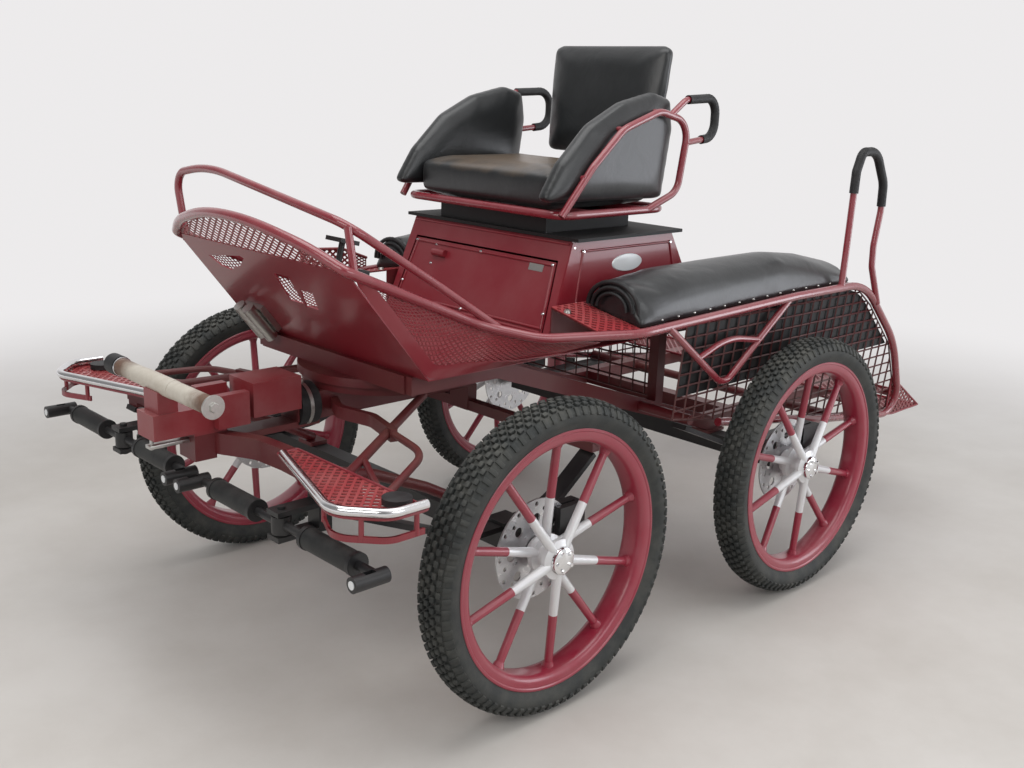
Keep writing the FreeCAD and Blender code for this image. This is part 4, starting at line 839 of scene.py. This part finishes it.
def lean_on_side(bm, top):
    """Tip a flat sheet of (behind the rear axle, z) into the rails' leaning plane, both sides;
    top is the highest, outermost corner of its CAD node."""
    for vert in bm.verts:
        behind, z, depth = vert.co
        y = top.y - 0.002 - BASKET_LEAN * (top.z - z) + depth
        vert.co = Vector((REAR_AXLE_X - behind, y, z))
    bmesh.ops.recalc_face_normals(bm, faces=bm.faces[:])
    mirrored(bm)


def basket():
    """Both leaning side grids and the upright one in front."""
    bm = wire_grid(BASKET_RIM, GRID_CELL, GRID_WIRE)
    lean_on_side(bm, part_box("basket_mesh")[1])
    front_grid = wire_grid([(-0.262, 0.502), (0.262, 0.502), (0.262, 0.678), (-0.262, 0.678)],
                           GRID_CELL, GRID_WIRE)
    for vert in front_grid.verts:
        y, z, depth = vert.co
        vert.co = Vector((REAR_AXLE_X + 0.247 + depth, y, z))
    bmesh.ops.recalc_face_normals(front_grid, faces=front_grid.faces[:])
    merge(bm, front_grid)
    return bm


LINING_RIM = (
    # behind the rear axle, z, bend radius; anticlockwise from the front foot, seen from the left
    (-0.420, 0.575, 0.002), (0.585, 0.575, 0.002), (0.346, 0.773, 0.240), (-0.227, 0.771, 0.002),
    (-0.420, 0.757, 0.002),
)


def lining():
    """Sheets inside the upper part of the side grids, rounded as the rails are, in the black with
    painted shade.
    """
    corners = [(behind, z) for behind, z, _ in LINING_RIM]
    edge = softened(corners, [bend for *_, bend in LINING_RIM])
    bm = plain_sheet([(p.x, p.y) for p in edge], 0.002)
    lean_on_side(bm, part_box("well_lining")[1])
    return bm


# The lining takes the darker black, whose extra darkness is painted shade.
piece("well_lining_sheets", lining(), "carriage_body", (SHADED_BLACK,),
      ("well_lining",))
piece("basket_grid", basket(), "carriage_body", (WIRE_RED,), ("basket_mesh",))

# %% [markdown]
# ## The groom's floor and step
# The groom stands on expanded metal at the tail and climbs up over a wide step behind it. Two
# mesh gussets carry the step from the rails, and a round bar joins the rails across the tail.

# %% Floor and step
TREAD_CELL, TREAD_STRAND = (0.0225, 0.0225), 0.0052
TAIL_BAR_Z, STEP_HALF, GUSSET_Y = 0.397, 0.471, 0.4725
GUSSET = (
    # behind the tail bar, z; anticlockwise from the step's rear edge, seen from the left
    (-0.040, 0.336), (0.010, 0.331), (0.168, 0.333), (-0.026, 0.457),
)


def flat_mesh(low, high, bm):
    """A level diamond sheet with a square rim bar, between two corners."""
    width, depth = high.x - low.x, high.y - low.y
    sheet = diamond_sheet(rectangle(width, depth), TREAD_CELL, TREAD_STRAND, high.z - low.z)
    corner = Vector((low.x, low.y, low.z))
    for vert in sheet.verts:
        vert.co += corner
    merge(bm, sheet)
    rim = [corner + Vector((x, y, (high.z - low.z) / 2)) for x, y in rectangle(width, depth)]
    cord_along(bm, rim, 0.0030, index=1)


def rear_step():
    """The tread behind the tail, its gussets and the tail bar."""
    low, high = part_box("rear_step")
    bar_x, bar_half = high.x - 0.0375, high.y - 0.0105
    bm = bmesh.new()
    flat_mesh(Vector((low.x + 0.003, -STEP_HALF, low.z + 0.0005)),
              Vector((low.x + 0.170, STEP_HALF, low.z + 0.0035)), bm)
    gusset = diamond_sheet(GUSSET, TREAD_CELL, TREAD_STRAND, 0.003)
    for vert in gusset.verts:
        behind, z, depth = vert.co
        vert.co = Vector((bar_x - behind, GUSSET_Y + depth, z))
    bmesh.ops.recalc_face_normals(gusset, faces=gusset.faces[:])
    cord_along(gusset, [(bar_x - behind, GUSSET_Y, z) for behind, z in GUSSET], 0.0030, index=1)
    mirrored(gusset)
    merge(bm, gusset)
    rod(bm, (bar_x, -bar_half, TAIL_BAR_Z), (bar_x, bar_half, TAIL_BAR_Z), 0.011, index=1)
    return bm


def well_floor():
    """The mesh floor at the well's tail end."""
    low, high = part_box("platform_floor")
    bm = bmesh.new()
    flat_mesh(low + Vector((0.003, 0.003, 0)), high - Vector((0.003, 0.003, 0)), bm)
    return bm


piece("rear_step_mesh", rear_step(), "carriage_body", (MESH_RED, WINE), ("rear_step",))
piece("well_floor_mesh", well_floor(), "carriage_body", (MESH_RED, WINE),
      ("platform_floor",))

# %% [markdown]
# ## Treads
# Each foot plate ahead of the front wheels is expanded metal in a folded rim. The diamonds are
# square here, so that a boot grips whichever way it turns. They are cut to the plate's outline,
# whose corners are arcs, and a square bar is drawn round the edge for the bright tube to rest on.
# A flat strip hangs below the outer corner on three short posts.

# %% Foot plates
def strip_along(bm, points, thick, height, index=0):
    """A flat bar on edge through level points."""
    for a, b in zip(points, points[1:]):
        way = b - a
        turn = Matrix.Rotation(math.atan2(way.y, way.x), 4, "Z")
        block(bm, (way.length + thick * 0.6, thick, height), (a + b) / 2, turn, index=index)


TREAD_CORNERS = ((0.979, 0.234), (1.024, 0.234), (1.136, 0.578), (1.065, 0.658), (0.979, 0.658))
TREAD_BENDS = (0.006, 0.006, 0.060, 0.050, 0.012)
LIP = ((1.092, 0.492), (1.133, 0.580), (1.065, 0.655), (0.991, 0.655))
POSTS = ((1.096, 0.500), (1.099, 0.617), (1.007, 0.655))


def treads():
    low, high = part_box("front_treads")
    top = high.z
    edge = softened(TREAD_CORNERS, TREAD_BENDS)
    bm = diamond_sheet([(p.x, p.y) for p in edge], TREAD_CELL, TREAD_STRAND, 0.003)
    for vert in bm.verts:
        vert.co.z += top - 0.003
    rim = [Vector((p.x, p.y, top - 0.0025)) for p in edge]
    cord_along(bm, rim, 0.0032, index=1)
    strip = softened(LIP, (0.001, 0.050, 0.045, 0.001), steps=8)[9:-9]
    ends = [Vector((*LIP[0], 0)), *strip, Vector((*LIP[-1], 0))]
    strip_along(bm, [p + Vector((0, 0, low.z + 0.006)) for p in ends], 0.005, 0.012, index=1)
    for x, y in POSTS:
        rod(bm, (x, y, low.z + 0.002), (x, y, top - 0.003), 0.005, index=1)
    mirrored(bm)
    return bm


piece("tread_plates", treads(), "fore_carriage", (TREAD_RED, WINE), ("front_treads",))

# %% [markdown]
# ## Upholstery
# The seat, its wings, the back pad and the long side pads are foam in black vinyl. The CAD has a
# plain block for each. Its surface is remeshed into even squares and used as a cloth whose seams
# are pinned; a little air pressure then crowns the panels between the seams, as foam does. The
# solver runs for twenty frames and no point may move more than a few millimetres, so that the
# cushion keeps its real size. The foam under this vinyl is tight, so its small wrinkles are
# smoothed away afterwards, and no piping shows.

# %% Cushion tools
VOXEL = 0.006
LONG_VOXEL = 0.0067


def cover_of(node, name, side=0, voxel=VOXEL):
    """The CAD block's surface as an object of even squares; side keeps one of a pair."""
    bm = bmesh.new()
    bm.from_mesh(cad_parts[node].data)
    bmesh.ops.remove_doubles(bm, verts=bm.verts[:], dist=1e-5)
    if side:
        away = [v for v in bm.verts if v.co.y * side < 0]
        bmesh.ops.delete(bm, geom=away, context="VERTS")
    mesh = bpy.data.meshes.new(name)
    bm.to_mesh(mesh)
    bm.free()
    made = bpy.data.objects.new(name, mesh)
    bpy.context.scene.collection.objects.link(made)
    even = made.modifiers.new("even squares", "REMESH")
    even.mode = "VOXEL"
    even.voxel_size = voxel
    soft = made.modifiers.new("soft edges", "SMOOTH")
    soft.factor = 0.5
    soft.iterations = 6
    return keep_shape(made)


def keep_shape(made):
    """Replace an object's mesh by what its modifiers make of it."""
    bpy.context.view_layer.update()
    graph = bpy.context.evaluated_depsgraph_get()
    shaped = bpy.data.meshes.new_from_object(made.evaluated_get(graph))
    made.modifiers.clear()
    old, made.data = made.data, shaped
    bpy.data.meshes.remove(old)
    return made


FRAMES = 20
PRESSURE = 4.0


def crown(made, is_seam, limit, calm=22):
    """Inflate the cover between its seams; limit is how far a point may move, and calm is how
    many times the wrinkles are smoothed, because tight foam pulls them flat."""
    before = [v.co.copy() for v in made.data.vertices]
    seam = made.vertex_groups.new(name="seam")
    seam.add([v.index for v in made.data.vertices if is_seam(v.co)], 1.0, "REPLACE")
    cloth = made.modifiers.new("cover", "CLOTH")
    cloth.settings.use_pressure = True
    cloth.settings.uniform_pressure_force = PRESSURE
    cloth.settings.vertex_group_mass = "seam"
    cloth.settings.effector_weights.gravity = 0
    cloth.settings.tension_stiffness = 30
    cloth.settings.compression_stiffness = 20
    cloth.settings.bending_stiffness = 1.2
    cloth.point_cache.frame_start = 1
    cloth.point_cache.frame_end = FRAMES
    for number in range(1, FRAMES + 1):
        bpy.context.scene.frame_set(number)
    keep_shape(made)
    bpy.context.scene.frame_set(1)
    for vert, start in zip(made.data.vertices, before):
        moved = vert.co - start
        if moved.length > limit:
            vert.co = start + moved * (limit / moved.length)
    made.vertex_groups.clear()
    even = made.modifiers.new("calm", "SMOOTH")
    even.factor = 0.5
    even.iterations = calm
    return keep_shape(made)


def finished_cover(made, finishes, node, extras=None, pair=False):
    bm = bmesh.new()
    bm.from_mesh(made.data)
    bmesh.ops.subdivide_edges(bm, edges=bm.edges[:], cuts=1, use_grid_fill=True, smooth=0.8)
    if extras:
        extras(bm)
    if pair:
        mirrored(bm)
    bpy.data.objects.remove(made)
    done = piece(node + "_cover", bm, "carriage_body", finishes, (node,), smooth=60)


# %% Seat cushion
def seat_cushion():
    low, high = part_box("seat_cushion")
    upper, lower = high.z - 0.016, low.z + 0.012
    made = cover_of("seat_cushion", "seat_cover")
    crown(made, lambda p: abs(p.z - upper) < 0.004 or abs(p.z - lower) < 0.004, 0.009)
    centre = ((low.x + high.x) / 2, 0, high.z)
    worn = vinyl("worn_seat_vinyl", (centre, (0.215, 0.275, 0.030)))
    finished_cover(made, (worn,), "seat_cushion")


seat_cushion()


# %% Wings and back pad
WING_THICK, WING_EDGE, BACK_THICK = 0.044, 0.012, 0.052


def seat_wings():
    """Two flat panels joined by a narrow band; the panels' edges are the pinned seams."""
    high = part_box("seat_wings")[1]
    inner, outer = high.y - WING_THICK + WING_EDGE, high.y - WING_EDGE
    made = cover_of("seat_wings", "wing_cover", LEFT)
    crown(made, lambda p: abs(p.y - inner) < 0.003 or abs(p.y - outer) < 0.003, 0.008)
    finished_cover(made, (VINYL,), "seat_wings", pair=True)


def back_pad():
    """A leaning pad with one seam round its middle."""
    low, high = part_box("seat_back")
    lean = (high.x - low.x - BACK_THICK) / (high.z - low.z)

    def depth(p):
        return p.x - (high.x - BACK_THICK / 2 - lean * (p.z - low.z))

    made = cover_of("seat_back", "back_cover")
    crown(made, lambda p: abs(depth(p)) < 0.004, 0.010, calm=70)
    finished_cover(made, (VINYL,), "seat_back")


seat_wings()
back_pad()

# %% [markdown]
# ## Side pads
# Each long pad is a crowned bolster beside the seat, tacked along its lower outer edge with
# small zinc nails, with a ribbed arch of rubber edging where its front end stands on the deck.

# %% Side pads
TACK_PITCH = 0.060
ARCH_RIBS = (0.078, 0.062, 0.045)
ARCH_INSET, ARCH_STEPS = 0.087, 18


def side_pads():
    """The crowned covers with their tacks and rubber arches."""
    low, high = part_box("side_pads")
    made = cover_of("side_pads", "side_pad_cover", LEFT, voxel=LONG_VOXEL)
    crown(made, lambda p: p.z < low.z + 0.020 + 0.055 * (high.y - p.y), 0.010, calm=10)

    def tacks_and_arch(bm):
        cover = BVHTree.FromBMesh(bm)
        x = low.x + 0.045
        while x < high.x - 0.02:
            share = (high.x - x) / (high.x - low.x)
            z = low.z + 0.0125 + 0.016 * min(1, share * 1.5)
            spot = cover.ray_cast(Vector((x, high.y + 0.05, z)), Vector((0, -1, 0)))[0]
            if spot:
                rod(bm, spot, spot + Vector((0, 0.0028, 0.001)), 0.0028, 0.0014, sides=10, index=2)
            x += TACK_PITCH
        middle = high.y - ARCH_INSET
        for ring, reach in enumerate(ARCH_RIBS):
            points = []
            for step in range(ARCH_STEPS + 1):
                angle = math.pi * step / ARCH_STEPS
                points.append(Vector((high.x + 0.001 + 0.003 * ring,
                                      middle + reach * math.cos(angle),
                                      low.z + 0.036 + reach * 0.78 * math.sin(angle))))
            cord_along(bm, points, 0.0055 - 0.0008 * ring, closed=False, index=1, sides=12)
    finished_cover(made, (VINYL, BLACK_RUBBER, ZINC), "side_pads", tacks_and_arch, pair=True)


side_pads()

# %% [markdown]
# ## Trim of the seat box
# The box under the seat is folded sheet. A half-round bead stiffens its front door and a second
# one each side, strips cover the front corners, and small pale screws hold them. The oval badge on
# each side and the little label on the door are blank. What is on the door moves with the door.

# %% Places on the seat box
BOX_FOOT_Z, BOX_FRONT_X, BOX_HALF = 0.695, 0.347, 0.305
FRONT_LEAN, SIDE_LEAN = 0.094 / 0.249, 0.015 / 0.249
FRONT_OUT = Vector((1, 0, FRONT_LEAN)).normalized()
SIDE_OUT = Vector((0, 1, SIDE_LEAN)).normalized()


def on_front(y, up, out=0.0):
    """A point on the box's leaning front; up is its height above the box's foot."""
    return Vector((BOX_FRONT_X - up * FRONT_LEAN, y, BOX_FOOT_Z + up)) + FRONT_OUT * out


def on_side(x, up, out=0.0):
    """A point on the box's left side."""
    return Vector((x, BOX_HALF - up * SIDE_LEAN, BOX_FOOT_Z + up)) + SIDE_OUT * out


def screw(bm, spot, out, index, radius=0.0045):
    """A domed screw head that stands a little out of its face."""
    rod(bm, spot, spot + out * 0.0030, radius, radius * 0.55, sides=12, index=index)


def plank(bm, start, end, across, thick, index=0):
    """A flat bar from start to end; across is its width as a vector."""
    way = end - start
    out = way.cross(across).normalized() * thick
    place = Matrix((way, across, out)).transposed().to_4x4()
    made = bmesh.ops.create_cube(bm, size=1.0, matrix=Matrix.Translation((start + end) / 2) @ place)
    paint_faces({f for v in made["verts"] for f in v.link_faces}, index)


# %% Door trim
DOOR_BEAD = ((-0.272, 0.046), (0.272, 0.046), (0.253, 0.189), (-0.253, 0.189))
DOOR_SCREWS = ((-0.253, 0.189), (0.0, 0.189), (0.253, 0.189), (0.268, 0.078), (-0.267, 0.082),
               (-0.013, 0.046))
LATCH_SCREWS = ((-0.174, 0.186), (-0.177, 0.138))
LATCH_Y, LATCH_UP = (-0.174, -0.126), 0.168


def door_trim():
    """Bead, screws, latch grip and blank label on the door; finishes 0 red, 1 screws, 2 label."""
    bm = bmesh.new()
    cord_along(bm, [on_front(y, up) for y, up in DOOR_BEAD], 0.0036, index=0, sides=12)
    for y, up in DOOR_SCREWS:
        screw(bm, on_front(y, up, 0.0030), FRONT_OUT, 1)
    for y, up in LATCH_SCREWS:
        screw(bm, on_front(y, up), FRONT_OUT, 1)
    near, far = (Vector((0.2885, y, BOX_FOOT_Z + LATCH_UP)) for y in LATCH_Y)
    rod(bm, near, far, 0.0098, sides=24, index=0)
    label = on_front(0.200, 0.178, 0.0004)
    along = Vector((0, 0.024, 0))
    up = FRONT_OUT.cross(Vector((0, 1, 0))) * -0.018
    plank(bm, label - along, label + along, up, 0.0008, index=2)
    return bm


piece("locker_door_trim", door_trim(), "locker_flap", (WINE, STAINLESS, ZINC))

# %% Box trim
SIDE_BEAD = ((0.217, 0.2225), (-0.105, 0.2225), (-0.135, 0.100), (0.2425, 0.100))
STRIP_UP = (0.085, 0.245)
BADGE_X, BADGE_UP, BADGE_LENGTH, BADGE_HEIGHT = 0.058, 0.184, 0.112, 0.043


def badge(bm, index):
    """A blank, slightly domed oval plate on the left side."""
    centre = on_side(BADGE_X, BADGE_UP, 0.0010)
    up = Vector((0, -SIDE_LEAN, 1)).normalized()
    columns = (Vector((-1, 0, 0)) * BADGE_LENGTH / 2, up * BADGE_HEIGHT / 2, SIDE_OUT * 0.002)
    place = Matrix.Translation(centre) @ Matrix(columns).transposed().to_4x4()
    made = bmesh.ops.create_cone(bm, cap_ends=True, segments=48, radius1=1.0, radius2=0.94,
                                 depth=1.0, matrix=place)
    paint_faces({f for v in made["verts"] for f in v.link_faces}, index)


def box_trim():
    """Beads, corner strips, screws and badges of the box itself."""
    bm = bmesh.new()
    cord_along(bm, [on_side(x, up) for x, up in SIDE_BEAD], 0.0034, index=0, sides=12)
    for x, up in SIDE_BEAD:
        screw(bm, on_side(x, up, 0.0028), SIDE_OUT, 1)
    start, end = (on_side(BOX_FRONT_X - up * FRONT_LEAN - 0.010, up, 0.0012) for up in STRIP_UP)
    plank(bm, start, end, Vector((-0.016, 0, 0)), 0.0022)
    screw(bm, end + Vector((0.003, 0, -0.012)), SIDE_OUT, 1)
    badge(bm, 2)
    mirrored(bm)
    cord_along(bm, [on_front(-0.285, 0.241), on_front(0.285, 0.241)], 0.0036, index=0, closed=False,
               sides=12)
    return bm


piece("locker_box_trim", box_trim(), "carriage_body", (WINE, STAINLESS, BLANK_SILVER))

# %% [markdown]
# ## Deck sheets and hand grips
# Ahead of each side pad the deck is covered with coarse expanded metal, as a step for whoever
# climbs up. The groom's hoops and the seat's grab loops have thick black rubber pulled over their
# upper bends.

# %% Deck sheets
DECK_OUTER = ((0.337, 0.476, 0.7662), (0.257, 0.498, 0.7682), (0.233, 0.498, 0.7690))
DECK_INNER = ((0.337, 0.312, 0.8018), (0.233, 0.312, 0.8018))


def deck_sheets():
    """Coarse diamonds from the rail up to the seat box, each with one bolt."""
    width, height = 0.104, 0.170
    bm = diamond_sheet(rectangle(width, height), TREAD_CELL, 0.0056, 0.0025)
    lay(bm, width, height, DECK_OUTER, DECK_INNER)
    spot = Vector((0.325, 0.352, 0.7935))
    rod(bm, spot, spot + Vector((0, 0.001, 0.006)), 0.009, 0.007, sides=20, index=1)
    mirrored(bm)
    return bm


piece("deck_step_mesh", deck_sheets(), "carriage_body", (TREAD_RED, ZINC))

# %% Grips
HOOP_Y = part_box("rear_hoops")[1].y - 0.009
HOOP_GRIP = (
    # behind the rear axle, z, bend radius
    (0.2376, 1.045, 0), (0.240, 1.098, 0.030), (0.262, 1.148, 0.028), (0.335, 1.148, 0.060),
    (0.390, 1.060, 0.060), (0.3917, 0.998, 0),
)
LOOP_GRIP = ((-0.125, 0.3085, 1.2705), (-0.248, 0.299, 1.276), (-0.248, 0.299, 1.178),
             (-0.190, 0.3035, 1.1725))


def grips():
    """Rubber on the groom's hoops and the seat's grab loops."""
    bm = bmesh.new()
    hoop = [(REAR_AXLE_X - behind, HOOP_Y, z) for behind, z, _ in HOOP_GRIP]
    bends = [bend for *_, bend in HOOP_GRIP[1:-1]]
    cord_along(bm, bent_line(hoop, bends), 0.0122, index=0, closed=False, sides=20)
    cord_along(bm, bent_line(LOOP_GRIP, (0.040, 0.040)), 0.0112, index=0, closed=False, sides=20)
    mirrored(bm)
    return bm


piece("hand_grips", grips(), "carriage_body", (BLACK_RUBBER,))

# %% [markdown]
# ## The dash hoop
# The grab tube over the dash is one long sweep: up from the dash's right corner, over to the left
# in a nearly straight line, and down beside the footwell to the rail, with a strut to the left
# corner. The bends are wide because the tube was rolled, not folded.

# %% Hoop
DASH_HOOP = (
    # x, y, z, bend radius; from the right foot over the top to the left rail
    (0.905, -0.334, 0.922, 0), (0.917, -0.352, 1.072, 0.050), (0.918, -0.200, 1.099, 0.500),
    (0.912, 0.318, 1.026, 0.060), (0.707, 0.347, 0.892, 0.250), (0.566, 0.382, 0.792, 0),
)
STRUT = ((0.905, 0.334, 0.922), (0.908, 0.314, 1.022))


def dash_hoop():
    """The swept tube and its strut."""
    bm = bmesh.new()
    corners = [(x, y, z) for x, y, z, _ in DASH_HOOP]
    line = bent_line(corners, [bend for *_, bend in DASH_HOOP[1:-1]], steps=14)
    cord_along(bm, line, 0.009, index=0, closed=False, sides=24)
    rod(bm, *STRUT, 0.008, sides=24)
    return bm


piece("dash_hoop_tube", dash_hoop(), "carriage_body", (RAIL_RED,), ("dash_hoop",))

# %% [markdown]
# ## Small fittings at the nose
# The cross bar has a rubber cap and a bright ring at its right end and a bolted washer at its
# left. Clamps hold the swingletrees' rubber sleeves, and each trace barrel has a pale face. A
# latch lies on the nose, and a hose clamp closes the rubber boot on the beam.

# %% Cross bar
def cross_bar_ends():
    """Cap and ring at the right end, washer and nut at the left."""
    low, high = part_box("pole_pin")
    x, z = (low.x + high.x) / 2, (low.z + high.z) / 2
    bm = bmesh.new()
    rod(bm, (x, low.y, z), (x, low.y + 0.039, z), 0.0225, sides=32, index=0)
    rod(bm, (x, low.y + 0.042, z), (x, low.y + 0.046, z), 0.0216, sides=32, index=1)
    rod(bm, (x, high.y, z), (x, high.y + 0.004, z), 0.024, sides=32, index=2)
    rod(bm, (x, high.y + 0.004, z), (x, high.y + 0.010, z), 0.011, 0.009, sides=6, index=2)
    return bm


piece("cross_bar_ends", cross_bar_ends(), "fore_carriage",
      (BLACK_RUBBER, STAINLESS, ZINC))

# %% Swingletrees
CLAMP_OFFSETS = (-0.244, -0.091, 0.091, 0.244)
SLEEVE_START, SLEEVE_END, BAR_RADIUS = 0.080, 0.255, 0.0195


def swingletree_trim(name, body):
    """Rubber on the bar's sleeves, their clamps, and the barrels' pale faces."""
    low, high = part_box(name)
    axis = Vector((low.x + 0.022, (low.y + high.y) / 2, (low.z + high.z) / 2))
    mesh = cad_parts[name].data
    finish_node(name, SATIN_BLACK)
    mesh.materials.append(SLEEVE_RUBBER)
    for face in mesh.polygons:
        offset = face.center - axis
        beside = math.hypot(offset.x, offset.z) > BAR_RADIUS - 0.001
        if beside and SLEEVE_START < abs(offset.y) < SLEEVE_END:
            face.material_index = 1
    bm = bmesh.new()
    for offset in CLAMP_OFFSETS:
        spot = axis + Vector((0, offset, 0))
        rod(bm, spot - Vector((0, 0.005, 0)), spot + Vector((0, 0.005, 0)), 0.0235, sides=32)
    for offset in (-0.310, 0.310):
        spot = Vector((high.x, axis.y + offset, axis.z))
        rod(bm, spot, spot + Vector((0.0015, 0, 0)), 0.008, sides=32, index=1)
    piece(f"{name}_trim", bm, body, (SATIN_BLACK, BLANK_SILVER))


swingletree_trim("swingletree_left", "swing_left")
swingletree_trim("swingletree_right", "swing_right")


# %% Nose latch and hose clamp
def nose_fittings():
    """The latch on the nose and the clamp round the boot."""
    low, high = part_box("beam_sleeve")
    bm = bmesh.new()
    block(bm, (0.090, 0.022, 0.008), (1.142, 0, 0.552), round_by=0.0015, index=0)
    rod(bm, (1.178, 0, 0.545), (1.178, 0, 0.566), 0.004, sides=12, index=0)
    centre = Vector(((low.x + high.x) / 2, 0, high.z - 0.050))
    turned(bm, ((-0.0045, 0.0502), (-0.0045, 0.0512), (0.0045, 0.0512), (0.0045, 0.0502)), centre,
           (1, 0, 0), Vector((0, 0, 1)), steps=64, closed=True, index=0)
    block(bm, (0.010, 0.018, 0.009), centre + Vector((0, 0, 0.0545)), round_by=0.001, index=0)
    return bm


piece("nose_fittings", nose_fittings(), "fore_carriage", (ZINC,))

# %% [markdown]
# ## Light, floor and camera
# The carriage stands in a bright, plain room. A pale floor runs out to a pale background, large
# soft lamps overhead draw long highlights down the tubes, and the camera stands at the left front
# corner, a little above the dash, with a normal lens.

# %% Floor
BACKDROP = (0.845, 0.83, 0.835)


def seen_directly(tree):
    """1 for what the eye or a reflection sees, 0 for light that falls on something."""
    path = add(tree, "LightPath")
    return arithmetic(tree, "MAXIMUM", path.outputs["Is Camera Ray"],
                      path.outputs["Is Glossy Ray"])


def make_floor():
    """A wide pale floor that fades into the backdrop where the eye or a reflection sees it."""
    bm = bmesh.new()
    bmesh.ops.create_circle(bm, cap_ends=True, segments=64, radius=30)
    mesh = bpy.data.meshes.new("studio_floor")
    bm.to_mesh(mesh)
    bm.free()
    floor = bpy.data.objects.new("studio_floor", mesh)
    bpy.context.scene.collection.objects.link(floor)
    material, tree, shader = new_material("pale_concrete", Roughness=0.55)
    place = place_on_piece(tree)
    soft = spread(tree, noise(tree, place, 1.1, 7.0, 0.62), 0.32, 0.68)
    tone = mix_colors(tree, soft, (0.56, 0.52, 0.475, 1), (0.70, 0.665, 0.625, 1))
    connect(tree, tone, shader.inputs["Base Color"])
    reach = add(tree, "VectorMath", ((0, place),), operation="LENGTH").outputs["Value"]
    far = spread(tree, reach, 1.5, 4.2, interpolation_type="SMOOTHSTEP")
    share = arithmetic(tree, "MULTIPLY", far, seen_directly(tree))
    glow = add(tree, "Emission", (("Color", (*BACKDROP, 1)), ("Strength", 1.0)))
    blend = add(tree, "MixShader", (("Fac", share), (1, shader.outputs[0]),
                                    (2, glow.outputs[0])))
    connect(tree, blend.outputs[0], tree.nodes["Material Output"].inputs["Surface"])
    mesh.materials.append(material)


make_floor()


# %% World and lamps
def make_world():
    """Pale all round; its reflection is dimmer towards the room's open front."""
    world = bpy.data.worlds.new("bright_room")
    bpy.context.scene.world = world
    world.use_nodes = True
    tree = world.node_tree
    back = tree.nodes["Background"]
    seen = seen_directly(tree)
    color = mix_colors(tree, seen, (0.95, 0.97, 1.0, 1), (*BACKDROP, 1))
    heading = add(tree, "TexCoord").outputs["Generated"]
    ahead = add(tree, "SeparateXYZ", (("Vector", heading),)).outputs["X"]
    dim = spread(tree, ahead, -0.15, 0.5, 0.95, 0.30)
    glossy = add(tree, "LightPath").outputs["Is Glossy Ray"]
    mirrored_light = add(tree, "Mix", (("Factor", glossy), (2, 1.0), (3, dim)))
    strength = add(tree, "Mix", (("Factor", seen), (2, 0.45), (3, mirrored_light.outputs[0])))
    connect(tree, color, back.inputs["Color"])
    connect(tree, strength.outputs[0], back.inputs["Strength"])


def lamp(name, where, aim, size, power, color=(1, 1, 1)):
    """A soft rectangular lamp that faces a point."""
    data = bpy.data.lights.new(name, "AREA")
    data.shape = "RECTANGLE"
    data.size, data.size_y = size
    data.energy = power
    data.color = color
    made = bpy.data.objects.new(name, data)
    bpy.context.scene.collection.objects.link(made)
    made.location = where
    made.rotation_euler = (Vector(aim) - Vector(where)).to_track_quat("-Z", "Y").to_euler()
    return made


make_world()
lamp("overhead_soft", (0.6, 0.4, 3.6), (0, 0, 0.4), (3.6, 2.4), 66)
lamp("front_window", (3.6, 1.2, 2.4), (0.2, 0, 0.5), (2.2, 1.6), 30, (1.0, 0.98, 0.95))
lamp("left_window", (0.2, 4.0, 2.2), (0, 0, 0.5), (2.6, 1.4), 26, (0.96, 0.98, 1.0))
lamp("rear_left_door", (-3.1, 3.0, 1.1), (0, 0, 0.6), (1.5, 2.2), 40, (0.90, 0.93, 1.0))


# %% Camera
def make_camera():
    data = bpy.data.cameras.new("corner_view")
    data.sensor_width = 36
    data.lens = 39.69
    camera = bpy.data.objects.new("corner_view", data)
    bpy.context.scene.collection.objects.link(camera)
    heading, tip, roll = (math.radians(a) for a in (-133.934, -15.067, 1.886))
    turn = (Matrix.Rotation(heading - math.pi / 2, 4, "Z")
            @ Matrix.Rotation(math.pi / 2 + tip, 4, "X") @ Matrix.Rotation(roll, 4, "Z"))
    camera.matrix_world = Matrix.Translation((2.1766, 2.0986, 1.3038)) @ turn
    bpy.context.scene.camera = camera
    print("camera stands at", tuple(round(c, 3) for c in camera.location))


make_camera()
bpy.context.scene.view_settings.view_transform = "Standard"
